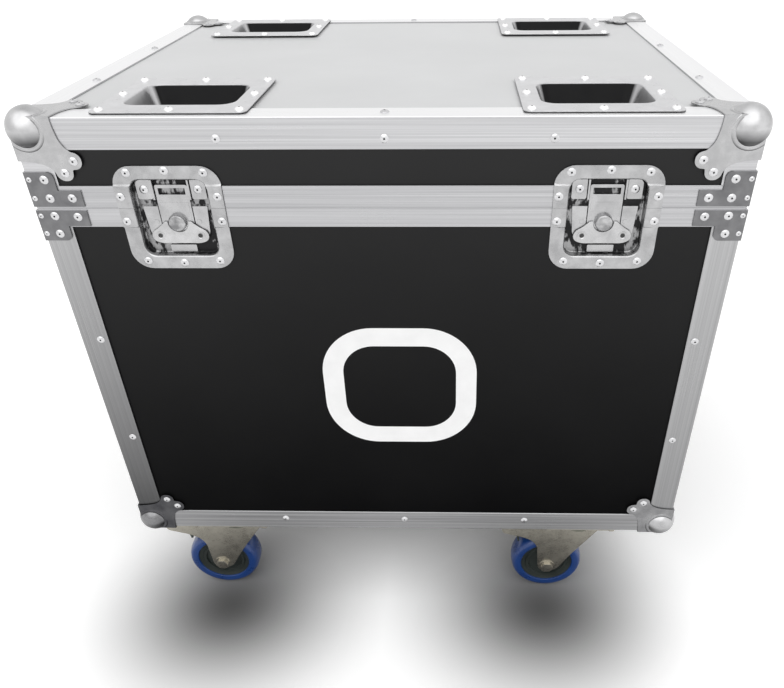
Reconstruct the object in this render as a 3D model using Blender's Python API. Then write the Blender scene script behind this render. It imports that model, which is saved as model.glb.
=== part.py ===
"""Lighting flight case on casters, built piece by piece in metres, +Z up, front facing -Y."""
import math

import bmesh
import bpy
from mathutils import Matrix, Vector

# Case box, measured over the outer faces of the aluminium edging
CASE_WIDTH = 0.700
CASE_DEPTH = 0.560
CASE_HEIGHT = 0.540
LID_HEIGHT = 0.088
CASTER_HEIGHT = 0.150

# Sheet, board and running clearances
GAP = 0.0003
OVERRUN = 0.004
PIN_SIDES = 10
NUT_SIDES = 6
PIECE_STEPS = 3
HOLE_STEPS = 4
ROUNDING_LIMIT_SHARE = 0.49
MITRE_LIMIT_SHARE = 0.1
PLY = 0.009
ANGLE_T = 0.0015
ANGLE_LEG = 0.030

# Tongue and groove rims on the two sides of the split
LID_RIM_HEIGHT = 0.0225
BODY_RIM_HEIGHT = 0.0195
LID_RIM_WEB = 0.0055
TONGUE_WIDTH = 0.0025
TONGUE_HEIGHT = 0.0030
TONGUE_CLEARANCE = 0.0008

# Ball corners; the case's own corners are cut off where the balls sit
BALL_RADIUS = 0.0210
BALL_INSET = 0.0125
BALL_SEGMENTS = 16
BALL_RINGS = 8
NOTCH = 0.0165
CORNER_T = 0.0012
CORNER_REACH = 0.0600
LOBE_RADIUS = 0.0078
LOBE_STEPS = 4
LOBE_ARC = (-80.0, 95.0)
LOBE_PLACE_SHARES = (0.867, 0.675)
CORNER_SIDE_SHARES = ((0.667, 0.20), (0.72, 0.36), (0.79, 0.50))

# Braces round the rims' corners, measured from the split
BRACE_T = 0.0012
BRACE_REACH = 0.050
BRACE_LEG = 0.0275
BRACE_SETBACK = 0.002
BRACE_DEPTH = 0.0165
LID_BRACE_HEIGHT = 0.0367
BODY_BRACE_HEIGHT = 0.0340

# Pressed dish sheet
DISH_T = 0.0012
FLANGE_PROUD = 0.0013
DISH_STEPS = 2

# Latch dishes, measured from the split, with their middle this far in from the case's side
LATCH_EDGE = 0.136
LATCH_WIDTH = 0.106
LATCH_UP = 0.042
LATCH_DOWN = 0.066
LATCH_CORNER = 0.019
LATCH_WELL_WIDTH = 0.076
LATCH_WELL_UP = 0.028
LATCH_WELL_DOWN = 0.052
LATCH_WELL_CORNER = 0.011

# Latch mechanism
HUB_DROP = 0.0175
HUB_RADIUS = 0.0090
HUB_HEIGHT = 0.0059
HUB_BEVEL = 0.0020
HUB_SIDES = 16
SPINDLE_RADIUS = 0.0040
MECHANISM_GAP = 0.0004
HOOK_T = 0.0020
HOOK_WIDTH = 0.033
HOOK_UP = 0.0210
HOOK_BELOW_HUB = 0.0130
HOOK_TRAVEL = 0.0050
HOOK_SLOT_WIDTH = 0.0266
HOOK_SLOT_LOW = 0.0110
HOOK_SLOT_HEIGHT = 0.0065
RAIL_WIDTH = 0.0026
RAIL_HEIGHT = 0.0024
RAIL_END_CLEAR = 0.0100
KEEPER_WIDTH = 0.0120
KEEPER_HEIGHT = 0.0180
KEEPER_RAISE = 0.0022
KEEPER_LIFT = 0.0060
WING_T = 0.0018
WING_CLEAR = 0.0006
WING_NOTCH_RADIUS = 0.0100
WING_LOBE_X = 0.0205
WING_LOBE_DROP = 0.0140
WING_LOBE_RADIUS = 0.0088
WING_LOBE_HOLE = 0.0032
WING_ARM = 0.0026
WING_BOTTOM_DROP = 0.0228
WING_PIVOT_RADIUS = 0.0008
WING_STEPS = 4
WING_LOBE_ARC = (-75.0, 105.0)

# Hinges on the back
HINGE_EDGE = 0.140
HINGE_WIDTH = 0.070
HINGE_LEAF = 0.038
HINGE_T = 0.0015
HINGE_CORNER = 0.005
KNUCKLE_RADIUS = 0.0045
KNUCKLE_SIDES = 10
LID_KNUCKLE_LENGTH = 0.024
PIN_RADIUS = 0.0024
PIN_CLEARANCE = 0.0003
KNUCKLE_RELIEF = 0.0005

# Recessed side handles
HANDLE_RAISE = 0.275
HANDLE_WIDTH = 0.160
HANDLE_HEIGHT = 0.105
HANDLE_CORNER = 0.012
HANDLE_WELL_WIDTH = 0.130
HANDLE_WELL_HEIGHT = 0.076
HANDLE_WELL_CORNER = 0.010
HANDLE_WELL_DEPTH = 0.014
BAIL_RADIUS = 0.0040
BAIL_DEPTH = 0.0068
BAIL_EAR_CLEAR = 0.0074
BAIL_PIVOT_UP = 0.022
BAIL_GRIP_DOWN = 0.021
BAIL_BEND = 0.010
BAIL_SIDES = 8
GRIP_RADIUS = 0.0058
GRIP_END_CLEAR = 0.006
EAR_LENGTH = 0.0040
EAR_RADIUS = 0.0062
EAR_WALL_CLEAR = 0.0016

# Stacking cups in the lid
CUP_EDGE_X = 0.146
CUP_EDGE_Y = 0.080
CUP_WIDTH = 0.150
CUP_DEPTH = 0.140
CUP_CORNER = 0.007
CUP_WELL_WIDTH = 0.111
CUP_WELL_DEPTH = 0.083
CUP_WELL_CORNER = 0.014
CUP_SINK = 0.032
CUP_DRAFT = 0.012

# Casters
CASTER_CORNER_CLEAR = 0.005
CASTER_SETBACK = 0.002
PLATE_LENGTH = 0.100
PLATE_WIDTH = 0.085
PLATE_T = 0.003
PLATE_CORNER = 0.008
RACE_RADIUS = 0.031
RACE_HEIGHT = 0.009
RACE_SIDES = 16
KINGPIN_RADIUS = 0.006
KINGPIN_CLEARANCE = 0.0006
KINGPIN_NUT_RADIUS = 0.0095
KINGPIN_NUT_HEIGHT = 0.006
RUNNING_GAP = 0.0004
CROWN_RADIUS = 0.033
CROWN_T = 0.004
FORK_T = 0.003
FORK_INNER_HALF = 0.0178
FORK_OFFSET = 0.036
AXLE_RADIUS = 0.006
AXLE_HEAD_RADIUS = 0.009
AXLE_HEAD_T = 0.003
AXLE_BOSS_RADIUS = 0.0125
BOSS_STEPS = 5
BOSS_ARC = (185.0, 325.0)
BORE_CLEARANCE = 0.0003
WHEEL_RADIUS = 0.050
WHEEL_WIDTH = 0.032
WHEEL_SIDES = 24
TYRE_DEPTH = 0.014
TYRE_ROUND = 0.005
WHEEL_DISH = 0.004
HUB_FACE_RADIUS = 0.014
HUB_FACE_WIDTH = 0.034
FORK_TAIL_REACH = 0.104
FORK_NOSE_REACH = 0.032
FORK_WAIST_SHARE = 0.62
FORK_TAIL_SHARE = 0.20
FORK_NOSE_SHARE = 0.13
PEDAL_REACH = 0.120
PEDAL_HALF_WIDTH = 0.0150
PEDAL_T = 0.0028
PEDAL_PIVOT_BACK = 0.091
PEDAL_PIVOT_DROP = 0.0085
PEDAL_PIN_RADIUS = 0.0030
PEDAL_INNER_BACK = 0.062
PEDAL_LINE_SHARES = ((0.35, 0.0), (0.62, 1.0), (0.85, 1.6), (1.0, 0.4))
BRAKE_CLEARANCE = 0.0040
BRAKE_ANGLE = 138.0
TONGUE_BEND_SHARE = 0.52

# Foam bed inside
FOAM_CLEARANCE = 0.0020
FOAM_HEIGHT = 0.050

# Levels and insets that the sizes above give
HALF_WIDTH = CASE_WIDTH / 2
HALF_DEPTH = CASE_DEPTH / 2
BASE_Z = CASTER_HEIGHT + GAP
TOP_Z = BASE_Z + CASE_HEIGHT
SPLIT_Z = TOP_Z - LID_HEIGHT
BOARD_OUT = ANGLE_T + GAP
BOARD_IN = BOARD_OUT + PLY
RIM_INNER_OUT = BOARD_IN + GAP
RIM_INNER_IN = RIM_INNER_OUT + ANGLE_T
LATCH_SINK = BOARD_IN - DISH_T
HINGE_AXIS_OUT = GAP + KNUCKLE_RADIUS
BALL_PROUD = BALL_RADIUS - BALL_INSET
HINGE_PROUD = HINGE_AXIS_OUT + KNUCKLE_RADIUS
LATCH_X = HALF_WIDTH - LATCH_EDGE
HINGE_X = HALF_WIDTH - HINGE_EDGE
BAIL_HALF_WIDTH = HANDLE_WELL_WIDTH / 2 - EAR_WALL_CLEAR - EAR_LENGTH - BAIL_EAR_CLEAR
GRIP_HALF_LENGTH = BAIL_HALF_WIDTH - BAIL_BEND - GRIP_END_CLEAR
CUP_X = HALF_WIDTH - CUP_EDGE_X
CUP_Y = HALF_DEPTH - CUP_EDGE_Y
CASTER_X = HALF_WIDTH - CORNER_REACH - CASTER_CORNER_CLEAR - PLATE_LENGTH / 2
CASTER_Y = HALF_DEPTH - CASTER_SETBACK - PLATE_WIDTH / 2
CROWN_TOP = CASTER_HEIGHT - PLATE_T - RACE_HEIGHT - RUNNING_GAP
CROWN_BOTTOM = CROWN_TOP - CROWN_T


def new_material(name, colour, roughness, metallic):
    """Make a Principled material."""
    material = bpy.data.materials.new(name)
    material.use_nodes = True
    shader = material.node_tree.nodes["Principled BSDF"]
    shader.inputs["Base Color"].default_value = (*colour, 1.0)
    shader.inputs["Roughness"].default_value = roughness
    shader.inputs["Metallic"].default_value = metallic
    return material


def add_piece(name, shape, material, parent, sharp_angle=35.0):
    """Turn a bmesh into a named object that hangs from a parent empty."""
    bmesh.ops.remove_doubles(shape, verts=shape.verts, dist=GAP / 100)
    bmesh.ops.dissolve_degenerate(shape, edges=shape.edges, dist=GAP / 100)
    mesh = bpy.data.meshes.new(name)
    shape.to_mesh(mesh)
    shape.free()
    mesh.materials.clear()
    mesh.materials.append(material)
    mesh.shade_smooth()
    mesh.set_sharp_from_angle(angle=math.radians(sharp_angle))
    piece = bpy.data.objects.new(name, mesh)
    bpy.context.scene.collection.objects.link(piece)
    piece.parent = parent
    return piece


def add_empty(name, place, parent=None):
    """Add an empty that carries a group of pieces."""
    empty = bpy.data.objects.new(name, None)
    bpy.context.scene.collection.objects.link(empty)
    empty.location = place
    empty.parent = parent
    return empty


def combine(first, second, operation):
    """Boolean two bmeshes with Blender's exact solver and give the result."""
    objects = []
    for shape in (first, second):
        mesh = bpy.data.meshes.new("work")
        shape.to_mesh(mesh)
        shape.free()
        work = bpy.data.objects.new("work", mesh)
        bpy.context.scene.collection.objects.link(work)
        objects.append(work)
    modifier = objects[0].modifiers.new("boolean", "BOOLEAN")
    modifier.operation = operation
    modifier.solver = "EXACT"
    modifier.object = objects[1]
    graph = bpy.context.evaluated_depsgraph_get()
    evaluated = objects[0].evaluated_get(graph)
    result = bmesh.new()
    result.from_mesh(evaluated.to_mesh())
    evaluated.to_mesh_clear()
    for work in objects:
        mesh = work.data
        bpy.data.objects.remove(work)
        bpy.data.meshes.remove(mesh)
    return result


def join(*shapes):
    """Union of several bmeshes."""
    result = shapes[0]
    for shape in shapes[1:]:
        result = combine(result, shape, "UNION")
    return result


def cut(shape, *cutters):
    """Take cutters away from a bmesh."""
    for cutter in cutters:
        shape = combine(shape, cutter, "DIFFERENCE")
    return shape


def box(low, high):
    """Box between two corners."""
    shape = bmesh.new()
    bmesh.ops.create_cube(shape, size=1.0)
    low = Vector(low)
    high = Vector(high)
    bmesh.ops.scale(shape, vec=high - low, verts=shape.verts)
    bmesh.ops.translate(shape, vec=(low + high) / 2, verts=shape.verts)
    return shape


def cylinder(radius, low, high, centre=(0.0, 0.0), sides=PIN_SIDES, axis="Z"):
    """Cylinder along an axis, from low to high on it."""
    shape = bmesh.new()
    bmesh.ops.create_cone(shape, cap_ends=True, segments=sides, radius1=radius, radius2=radius,
                          depth=high - low)
    bmesh.ops.translate(shape, vec=(centre[0], centre[1], (low + high) / 2), verts=shape.verts)
    if axis == "X":
        turn(shape, Matrix(((0, 0, 1), (1, 0, 0), (0, 1, 0))))
    if axis == "Y":
        turn(shape, Matrix(((0, 1, 0), (0, 0, 1), (1, 0, 0))))
    return shape


def turn(shape, matrix):
    """Turn a bmesh by a rotation matrix."""
    bmesh.ops.transform(shape, matrix=matrix.to_4x4(), verts=shape.verts)
    return shape


def move(shape, x=0.0, y=0.0, z=0.0):
    """Shift a bmesh."""
    bmesh.ops.translate(shape, vec=(x, y, z), verts=shape.verts)
    return shape


def flip(shape, x=1, y=1, z=1):
    """Mirror a bmesh through its origin planes, with its faces kept outwards."""
    bmesh.ops.scale(shape, vec=(x, y, z), verts=shape.verts)
    if x * y * z < 0:
        bmesh.ops.reverse_faces(shape, faces=shape.faces)
    return shape


def prism(outline, low, high):
    """Extrude an outline of (x, y) points along Z, from low to high."""
    shape = bmesh.new()
    face = shape.faces.new([shape.verts.new((x, y, low)) for x, y in outline])
    grown = bmesh.ops.extrude_face_region(shape, geom=[face])
    top = [item for item in grown["geom"] if isinstance(item, bmesh.types.BMVert)]
    bmesh.ops.translate(shape, vec=(0.0, 0.0, high - low), verts=top)
    bmesh.ops.recalc_face_normals(shape, faces=shape.faces)
    return shape


def rounded(width, height, radius, steps=DISH_STEPS, centre=(0.0, 0.0)):
    """Points of a rounded rectangle, anticlockwise."""
    radius = min(radius, width * ROUNDING_LIMIT_SHARE, height * ROUNDING_LIMIT_SHARE)
    points = []
    for quarter, (sign_x, sign_y) in enumerate(((1, 1), (-1, 1), (-1, -1), (1, -1))):
        middle_x = centre[0] + sign_x * (width / 2 - radius)
        middle_y = centre[1] + sign_y * (height / 2 - radius)
        for step in range(steps + 1):
            angle = (quarter + step / steps) * math.pi / 2
            points.append((middle_x + radius * math.cos(angle), middle_y + radius * math.sin(angle)))
    return points


def arc(centre, radius, start, end, steps):
    """Points on an arc, angles in degrees."""
    points = []
    for step in range(steps + 1):
        angle = math.radians(start + (end - start) * step / steps)
        points.append((centre[0] + radius * math.cos(angle), centre[1] + radius * math.sin(angle)))
    return points


def loft(outlines):
    """Closed solid through outlines given as (points, z), each with as many points."""
    shape = bmesh.new()
    rings = []
    for points, z in outlines:
        rings.append([shape.verts.new((x, y, z)) for x, y in points])
    for lower, upper in zip(rings, rings[1:]):
        for index in range(len(lower)):
            after = (index + 1) % len(lower)
            shape.faces.new((lower[index], lower[after], upper[after], upper[index]))
    shape.faces.new(rings[0])
    shape.faces.new(rings[-1])
    bmesh.ops.recalc_face_normals(shape, faces=shape.faces)
    return shape


def frame_ring(profile, width, depth):
    """Mitred frame from a closed profile of (inset, z) points round a width by depth rectangle."""
    shape = bmesh.new()
    corners = []
    for sign_x, sign_y in ((-1, -1), (1, -1), (1, 1), (-1, 1)):
        corners.append([shape.verts.new((sign_x * (width / 2 - inset), sign_y * (depth / 2 - inset), z))
                        for inset, z in profile])
    for index, corner in enumerate(corners):
        after = corners[(index + 1) % len(corners)]
        for point in range(len(profile)):
            following = (point + 1) % len(profile)
            shape.faces.new((corner[point], after[point], after[following], corner[following]))
    bmesh.ops.recalc_face_normals(shape, faces=shape.faces)
    return shape


def tube(points, radius, sides):
    """Round bar along a path that lies in the XY plane, mitred at each bend."""
    shape = bmesh.new()
    rings = []
    for index, point in enumerate(points):
        before = points[max(index - 1, 0)]
        after = points[min(index + 1, len(points) - 1)]
        way_in = (Vector(point) - Vector(before)).normalized()
        way_out = (Vector(after) - Vector(point)).normalized()
        if index == 0:
            way_in = way_out
        if index == len(points) - 1:
            way_out = way_in
        along = (way_in + way_out).normalized()
        across = Vector((-along.y, along.x))
        stretch = 1.0 / max(along.dot(way_in), MITRE_LIMIT_SHARE)
        ring = []
        for side in range(sides):
            angle = 2 * math.pi * side / sides
            offset = across * radius * stretch * math.cos(angle)
            ring.append(shape.verts.new((point[0] + offset.x, point[1] + offset.y,
                                         radius * math.sin(angle))))
        rings.append(ring)
    for lower, upper in zip(rings, rings[1:]):
        for side in range(sides):
            after = (side + 1) % sides
            shape.faces.new((lower[side], lower[after], upper[after], upper[side]))
    shape.faces.new(rings[0])
    shape.faces.new(rings[-1])
    bmesh.ops.recalc_face_normals(shape, faces=shape.faces)
    return shape


def turned(profile, sides):
    """Solid of revolution about Z from a closed profile of (radius, z) points off the axis."""
    shape = bmesh.new()
    rings = []
    for side in range(sides):
        angle = 2 * math.pi * side / sides
        rings.append([shape.verts.new((radius * math.cos(angle), radius * math.sin(angle), z))
                      for radius, z in profile])
    for index, ring in enumerate(rings):
        after = rings[(index + 1) % sides]
        for point in range(len(profile)):
            following = (point + 1) % len(profile)
            shape.faces.new((ring[point], after[point], after[following], ring[following]))
    bmesh.ops.recalc_face_normals(shape, faces=shape.faces)
    return shape


def face_front(shape):
    """Stand a shape drawn as (across, up, out) on the front, facing -Y."""
    return turn(shape, Matrix(((1, 0, 0), (0, 0, -1), (0, 1, 0))))


def face_back(shape):
    """Stand a shape drawn as (across, up, out) on the back, facing +Y."""
    return turn(shape, Matrix(((-1, 0, 0), (0, 0, 1), (0, 1, 0))))


def face_side(shape, side):
    """Stand a shape drawn as (across, up, out) on the left (-1) or right (1) side."""
    return turn(shape, Matrix(((0, 0, side), (side, 0, 0), (0, 1, 0))))


def dish(flange, well, sink, draft=0.0, seat=None):
    """Pressed dish drawn as (across, up, out), with 0 on the case's outer plane.

    flange and well are (width, height, corner radius, centre); seat cuts the flange's underside.
    """
    width, height, corner, centre = flange
    plate = prism(rounded(width, height, corner, centre=centre), -ANGLE_T, GAP + FLANGE_PROUD)
    if seat:
        plate = cut(plate, seat)
    well_width, well_height, well_corner, well_centre = well

    def section(grow, z):
        """Outline of the well at a level."""
        share = max(-z, 0.0) / sink
        shrink = 2 * (grow - draft * share)
        return rounded(well_width + shrink, well_height + shrink, well_corner + grow,
                       centre=well_centre), z

    # The outer wall stops inside the flange, so the two join without a shared face
    wall_top = GAP + FLANGE_PROUD / 2
    outer = loft([section(DISH_T, -sink - DISH_T), section(DISH_T, 0.0), section(DISH_T, wall_top)])
    inner = loft([section(0.0, -sink), section(0.0, 0.0), section(0.0, OVERRUN + FLANGE_PROUD)])
    return cut(join(plate, outer), inner)


def well_cutter(width, height, centre, reach):
    """Box that clears a dish's well through the boards, drawn as (across, up, out)."""
    half_x = width / 2 + DISH_T + GAP
    half_y = height / 2 + DISH_T + GAP
    return box((centre[0] - half_x, centre[1] - half_y, -reach),
               (centre[0] + half_x, centre[1] + half_y, OVERRUN))


def corner_notches(level, side_z):
    """Cutters for the four corners of the case at its top (side_z 1) or bottom (-1)."""
    cutters = []
    for side_x in (-1, 1):
        for side_y in (-1, 1):
            notch = box((-NOTCH, -NOTCH, -NOTCH), (OVERRUN, OVERRUN, OVERRUN))
            notch = flip(notch, side_x, side_y, side_z)
            cutters.append(move(notch, side_x * HALF_WIDTH, side_y * HALF_DEPTH, level))
    return cutters


def latch_well():
    """Width, height and centre of the latch's well, measured from the split."""
    height = LATCH_WELL_UP + LATCH_WELL_DOWN
    return LATCH_WELL_WIDTH, height, (0.0, (LATCH_WELL_UP - LATCH_WELL_DOWN) / 2)


def latch_cutters():
    """Cutters for both latch wells, in case coordinates."""
    width, height, centre = latch_well()
    cutters = []
    for side in (-1, 1):
        cutter = face_front(well_cutter(width, height, centre, BOARD_IN + GAP / 2))
        cutters.append(move(cutter, x=side * LATCH_X, y=-HALF_DEPTH, z=SPLIT_Z))
    return cutters


def body_boards(parent, board):
    """Front, back, left, right and bottom boards of the body."""
    low = BASE_Z + BOARD_OUT
    high = SPLIT_Z - GAP / 2 - ANGLE_T - GAP
    half_x = HALF_WIDTH - BOARD_OUT
    front_out = HALF_DEPTH - BOARD_OUT
    front_in = HALF_DEPTH - BOARD_IN
    front = box((-half_x, -front_out, low), (half_x, -front_in, high))
    front = cut(front, *latch_cutters(), *corner_notches(BASE_Z, -1))
    add_piece("body_front_panel", front, board, parent)
    back = box((-half_x, front_in, low), (half_x, front_out, high))
    add_piece("body_back_panel", cut(back, *corner_notches(BASE_Z, -1)), board, parent)
    side_y = front_in - GAP
    side_in = HALF_WIDTH - BOARD_IN
    for side, name in ((-1, "body_left_panel"), (1, "body_right_panel")):
        edges = sorted((side * side_in, side * half_x))
        panel = box((edges[0], -side_y, low), (edges[1], side_y, high))
        cutter = well_cutter(HANDLE_WELL_WIDTH, HANDLE_WELL_HEIGHT, (0.0, 0.0), BOARD_IN + OVERRUN)
        cutter = move(face_side(cutter, side), x=side * HALF_WIDTH, z=BASE_Z + HANDLE_RAISE)
        add_piece(name, cut(panel, cutter, *corner_notches(BASE_Z, -1)), board, parent)
    floor_x = side_in - GAP
    floor = box((-floor_x, -side_y, low), (floor_x, side_y, low + PLY))
    add_piece("body_bottom_panel", cut(floor, *corner_notches(BASE_Z, -1)), board, parent)


def body_edging(parent, aluminium):
    """Bottom edging frame, the uprights and the rim with the tongue."""
    profile = [(0.0, BASE_Z), (ANGLE_LEG, BASE_Z), (ANGLE_LEG, BASE_Z + ANGLE_T),
               (ANGLE_T, BASE_Z + ANGLE_T), (ANGLE_T, BASE_Z + ANGLE_LEG), (0.0, BASE_Z + ANGLE_LEG)]
    ring = cut(frame_ring(profile, CASE_WIDTH, CASE_DEPTH), *corner_notches(BASE_Z, -1))
    add_piece("bottom_edging", ring, aluminium, parent)
    low = BASE_Z + ANGLE_LEG + GAP
    high = SPLIT_Z - GAP / 2 - BODY_RIM_HEIGHT - GAP
    for side_x, side_y, name in ((-1, -1, "upright_front_left"), (1, -1, "upright_front_right"),
                                 (-1, 1, "upright_back_left"), (1, 1, "upright_back_right")):
        add_piece(name, upright(side_x, side_y, low, high), aluminium, parent)
    rim_top = SPLIT_Z - GAP / 2
    rim_low = rim_top - BODY_RIM_HEIGHT
    web = rim_top - ANGLE_T
    middle = RIM_INNER_IN / 2
    tongue_out = middle - TONGUE_WIDTH / 2
    tongue_in = middle + TONGUE_WIDTH / 2
    profile = [(0.0, rim_low), (ANGLE_T, rim_low), (ANGLE_T, web), (RIM_INNER_OUT, web),
               (RIM_INNER_OUT, rim_low), (RIM_INNER_IN, rim_low), (RIM_INNER_IN, rim_top),
               (tongue_in, rim_top), (tongue_in, rim_top + TONGUE_HEIGHT),
               (tongue_out, rim_top + TONGUE_HEIGHT), (tongue_out, rim_top), (0.0, rim_top)]
    rim = cut(frame_ring(profile, CASE_WIDTH, CASE_DEPTH), *latch_cutters())
    add_piece("body_rim", join(rim, *braces(-1, BODY_BRACE_HEIGHT)), aluminium, parent)


def angle(side_x, side_y, leg, proud, inset, low, high):
    """Angle round one upright corner, from proud of the case's faces to inset behind them."""
    outline = [(proud, proud), (-leg, proud), (-leg, -inset), (-inset, -inset), (-inset, -leg),
               (proud, -leg)]
    shape = flip(prism(outline, low, high), x=side_x, y=side_y)
    return move(shape, x=side_x * HALF_WIDTH, y=side_y * HALF_DEPTH)


def upright(side_x, side_y, low, high):
    """Aluminium angle that wraps one upright corner of the case."""
    return angle(side_x, side_y, ANGLE_LEG, 0.0, ANGLE_T, low, high)


def braces(up, height):
    """Riveted braces at the four corners of a rim, above (up 1) or below (-1) the split."""
    proud = GAP + BRACE_T
    near = SPLIT_Z + up * BRACE_SETBACK
    shapes = []
    for side_x in (-1, 1):
        for side_y in (-1, 1):
            far = near + up * BRACE_DEPTH
            tip = SPLIT_Z + up * height
            band = sorted((near, far))
            leg = sorted((near, tip))
            # The band reaches into the rim's own sheet; the leg above it stands clear of the angle
            foot = angle(side_x, side_y, BRACE_REACH, proud, ANGLE_T / 2, band[0], band[1])
            upper = angle(side_x, side_y, BRACE_LEG, proud, -GAP, leg[0], leg[1])
            shapes.append(join(foot, upper))
    return shapes


def cup_places():
    """Centres of the four stacking cups with their side signs."""
    return [(side_x, side_y, side_x * CUP_X, side_y * CUP_Y)
            for side_y in (-1, 1) for side_x in (-1, 1)]


def lid_boards(parent, board, pale_board):
    """Lid's pale top board, and its four black walls joined into one ring."""
    low = SPLIT_Z + GAP / 2 + LID_RIM_WEB + GAP
    board_top = TOP_Z - BOARD_OUT
    wall_top = board_top - PLY - GAP
    profile = [(BOARD_OUT, low), (BOARD_IN, low), (BOARD_IN, wall_top), (BOARD_OUT, wall_top)]
    walls = cut(frame_ring(profile, CASE_WIDTH, CASE_DEPTH), *latch_cutters(),
                *corner_notches(TOP_Z, 1))
    add_piece("lid_wall_panels", walls, board, parent)
    half_x = HALF_WIDTH - BOARD_OUT
    half_y = HALF_DEPTH - BOARD_OUT
    top = box((-half_x, -half_y, board_top - PLY), (half_x, half_y, board_top))
    cutters = corner_notches(TOP_Z, 1)
    for _, _, x, y in cup_places():
        cutter = well_cutter(CUP_WELL_WIDTH, CUP_WELL_DEPTH, (0.0, 0.0), BOARD_IN + OVERRUN)
        cutters.append(move(cutter, x=x, y=y, z=TOP_Z))
    add_piece("lid_top_panel", cut(top, *cutters), pale_board, parent)


def lid_edging(parent, aluminium):
    """Top edging frame with its short uprights, and the rim with the groove."""
    inner = TOP_Z - ANGLE_T
    profile = [(0.0, TOP_Z), (ANGLE_LEG, TOP_Z), (ANGLE_LEG, inner), (ANGLE_T, inner),
               (ANGLE_T, TOP_Z - ANGLE_LEG), (0.0, TOP_Z - ANGLE_LEG)]
    shape = frame_ring(profile, CASE_WIDTH, CASE_DEPTH)
    rim_low = SPLIT_Z + GAP / 2
    rim_top = rim_low + LID_RIM_HEIGHT
    for side_x in (-1, 1):
        for side_y in (-1, 1):
            short = upright(side_x, side_y, rim_top + GAP, TOP_Z - ANGLE_LEG / 2)
            shape = join(shape, short)
    add_piece("lid_edging", cut(shape, *corner_notches(TOP_Z, 1)), aluminium, parent)
    web = rim_low + LID_RIM_WEB
    middle = RIM_INNER_IN / 2
    groove_out = middle - TONGUE_WIDTH / 2 - TONGUE_CLEARANCE
    groove_in = middle + TONGUE_WIDTH / 2 + TONGUE_CLEARANCE
    groove_top = rim_low + TONGUE_HEIGHT + TONGUE_CLEARANCE / 2
    profile = [(0.0, rim_low), (0.0, rim_top), (ANGLE_T, rim_top), (ANGLE_T, web), (RIM_INNER_OUT, web),
               (RIM_INNER_OUT, rim_top), (RIM_INNER_IN, rim_top), (RIM_INNER_IN, rim_low),
               (groove_in, rim_low), (groove_in, groove_top), (groove_out, groove_top),
               (groove_out, rim_low)]
    rim = cut(frame_ring(profile, CASE_WIDTH, CASE_DEPTH), *latch_cutters())
    add_piece("lid_rim", join(rim, *braces(1, LID_BRACE_HEIGHT)), aluminium, parent)


def corner_outline():
    """Outline of one face of a ball corner, as distances in from the corner."""
    far, near = (share * CORNER_REACH for share in LOBE_PLACE_SHARES)
    outside = -(GAP + CORNER_T)
    side = [(a * CORNER_REACH, b * CORNER_REACH) for a, b in CORNER_SIDE_SHARES]
    lobe = arc((far, near), LOBE_RADIUS, *LOBE_ARC, LOBE_STEPS)
    half = [(side[0][0], outside)] + side + lobe
    mirrored = [(b, a) for a, b in reversed(half)]
    return [(outside, outside)] + half + mirrored


def corner_shape():
    """Ball corner at the case's +X +Y +Z corner, drawn with the corner at the origin."""
    ball = bmesh.new()
    bmesh.ops.create_uvsphere(ball, u_segments=BALL_SEGMENTS, v_segments=BALL_RINGS, radius=BALL_RADIUS)
    move(ball, -BALL_INSET, -BALL_INSET, -BALL_INSET)
    reach = GAP - NOTCH
    inside = box((-CORNER_REACH, -CORNER_REACH, -CORNER_REACH), (GAP, GAP, GAP))
    notch = box((reach, reach, reach), (OVERRUN, OVERRUN, OVERRUN))
    ball = cut(ball, cut(inside, notch))
    outline = [(-a, -b) for a, b in corner_outline()]
    spins = (Matrix.Identity(3), Matrix(((0, 1, 0), (0, 0, 1), (1, 0, 0))),
             Matrix(((0, 0, 1), (1, 0, 0), (0, 1, 0))))
    plates = None
    for spin in spins:
        plate = turn(prism(outline, GAP, GAP + CORNER_T), spin)
        plates = join(plates, plate) if plates else plate
    # The plates stop at the ball, so the corner is round
    plates = cut(plates, box((reach, reach, reach), (OVERRUN, OVERRUN, OVERRUN)))
    return join(plates, ball)


def ball_corners(body, lid, steel):
    """Eight ball corners, four on the lid and four on the body."""
    master = corner_shape()
    for side_z, level, parent, group in ((1, TOP_Z, lid, "lid"), (-1, BASE_Z, body, "body")):
        for side_y, depth_name in ((-1, "front"), (1, "back")):
            for side_x, width_name in ((-1, "left"), (1, "right")):
                shape = flip(master.copy(), side_x, side_y, side_z)
                move(shape, side_x * HALF_WIDTH, side_y * HALF_DEPTH, level)
                name = "{}_ball_corner_{}_{}".format(group, depth_name, width_name)
                add_piece(name, shape, steel, parent)
    master.free()


def latch_dish():
    """Whole latch dish across the split, drawn as (across, up, out)."""
    height = LATCH_UP + LATCH_DOWN
    centre = (0.0, (LATCH_UP - LATCH_DOWN) / 2)
    well_width, well_height, well_centre = latch_well()
    rims = box((-LATCH_WIDTH, -BODY_RIM_HEIGHT - GAP, -BOARD_IN),
               (LATCH_WIDTH, LID_RIM_HEIGHT + GAP, GAP))
    return dish((LATCH_WIDTH, height, LATCH_CORNER, centre),
                (well_width, well_height, LATCH_WELL_CORNER, well_centre), LATCH_SINK, seat=rims)


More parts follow.
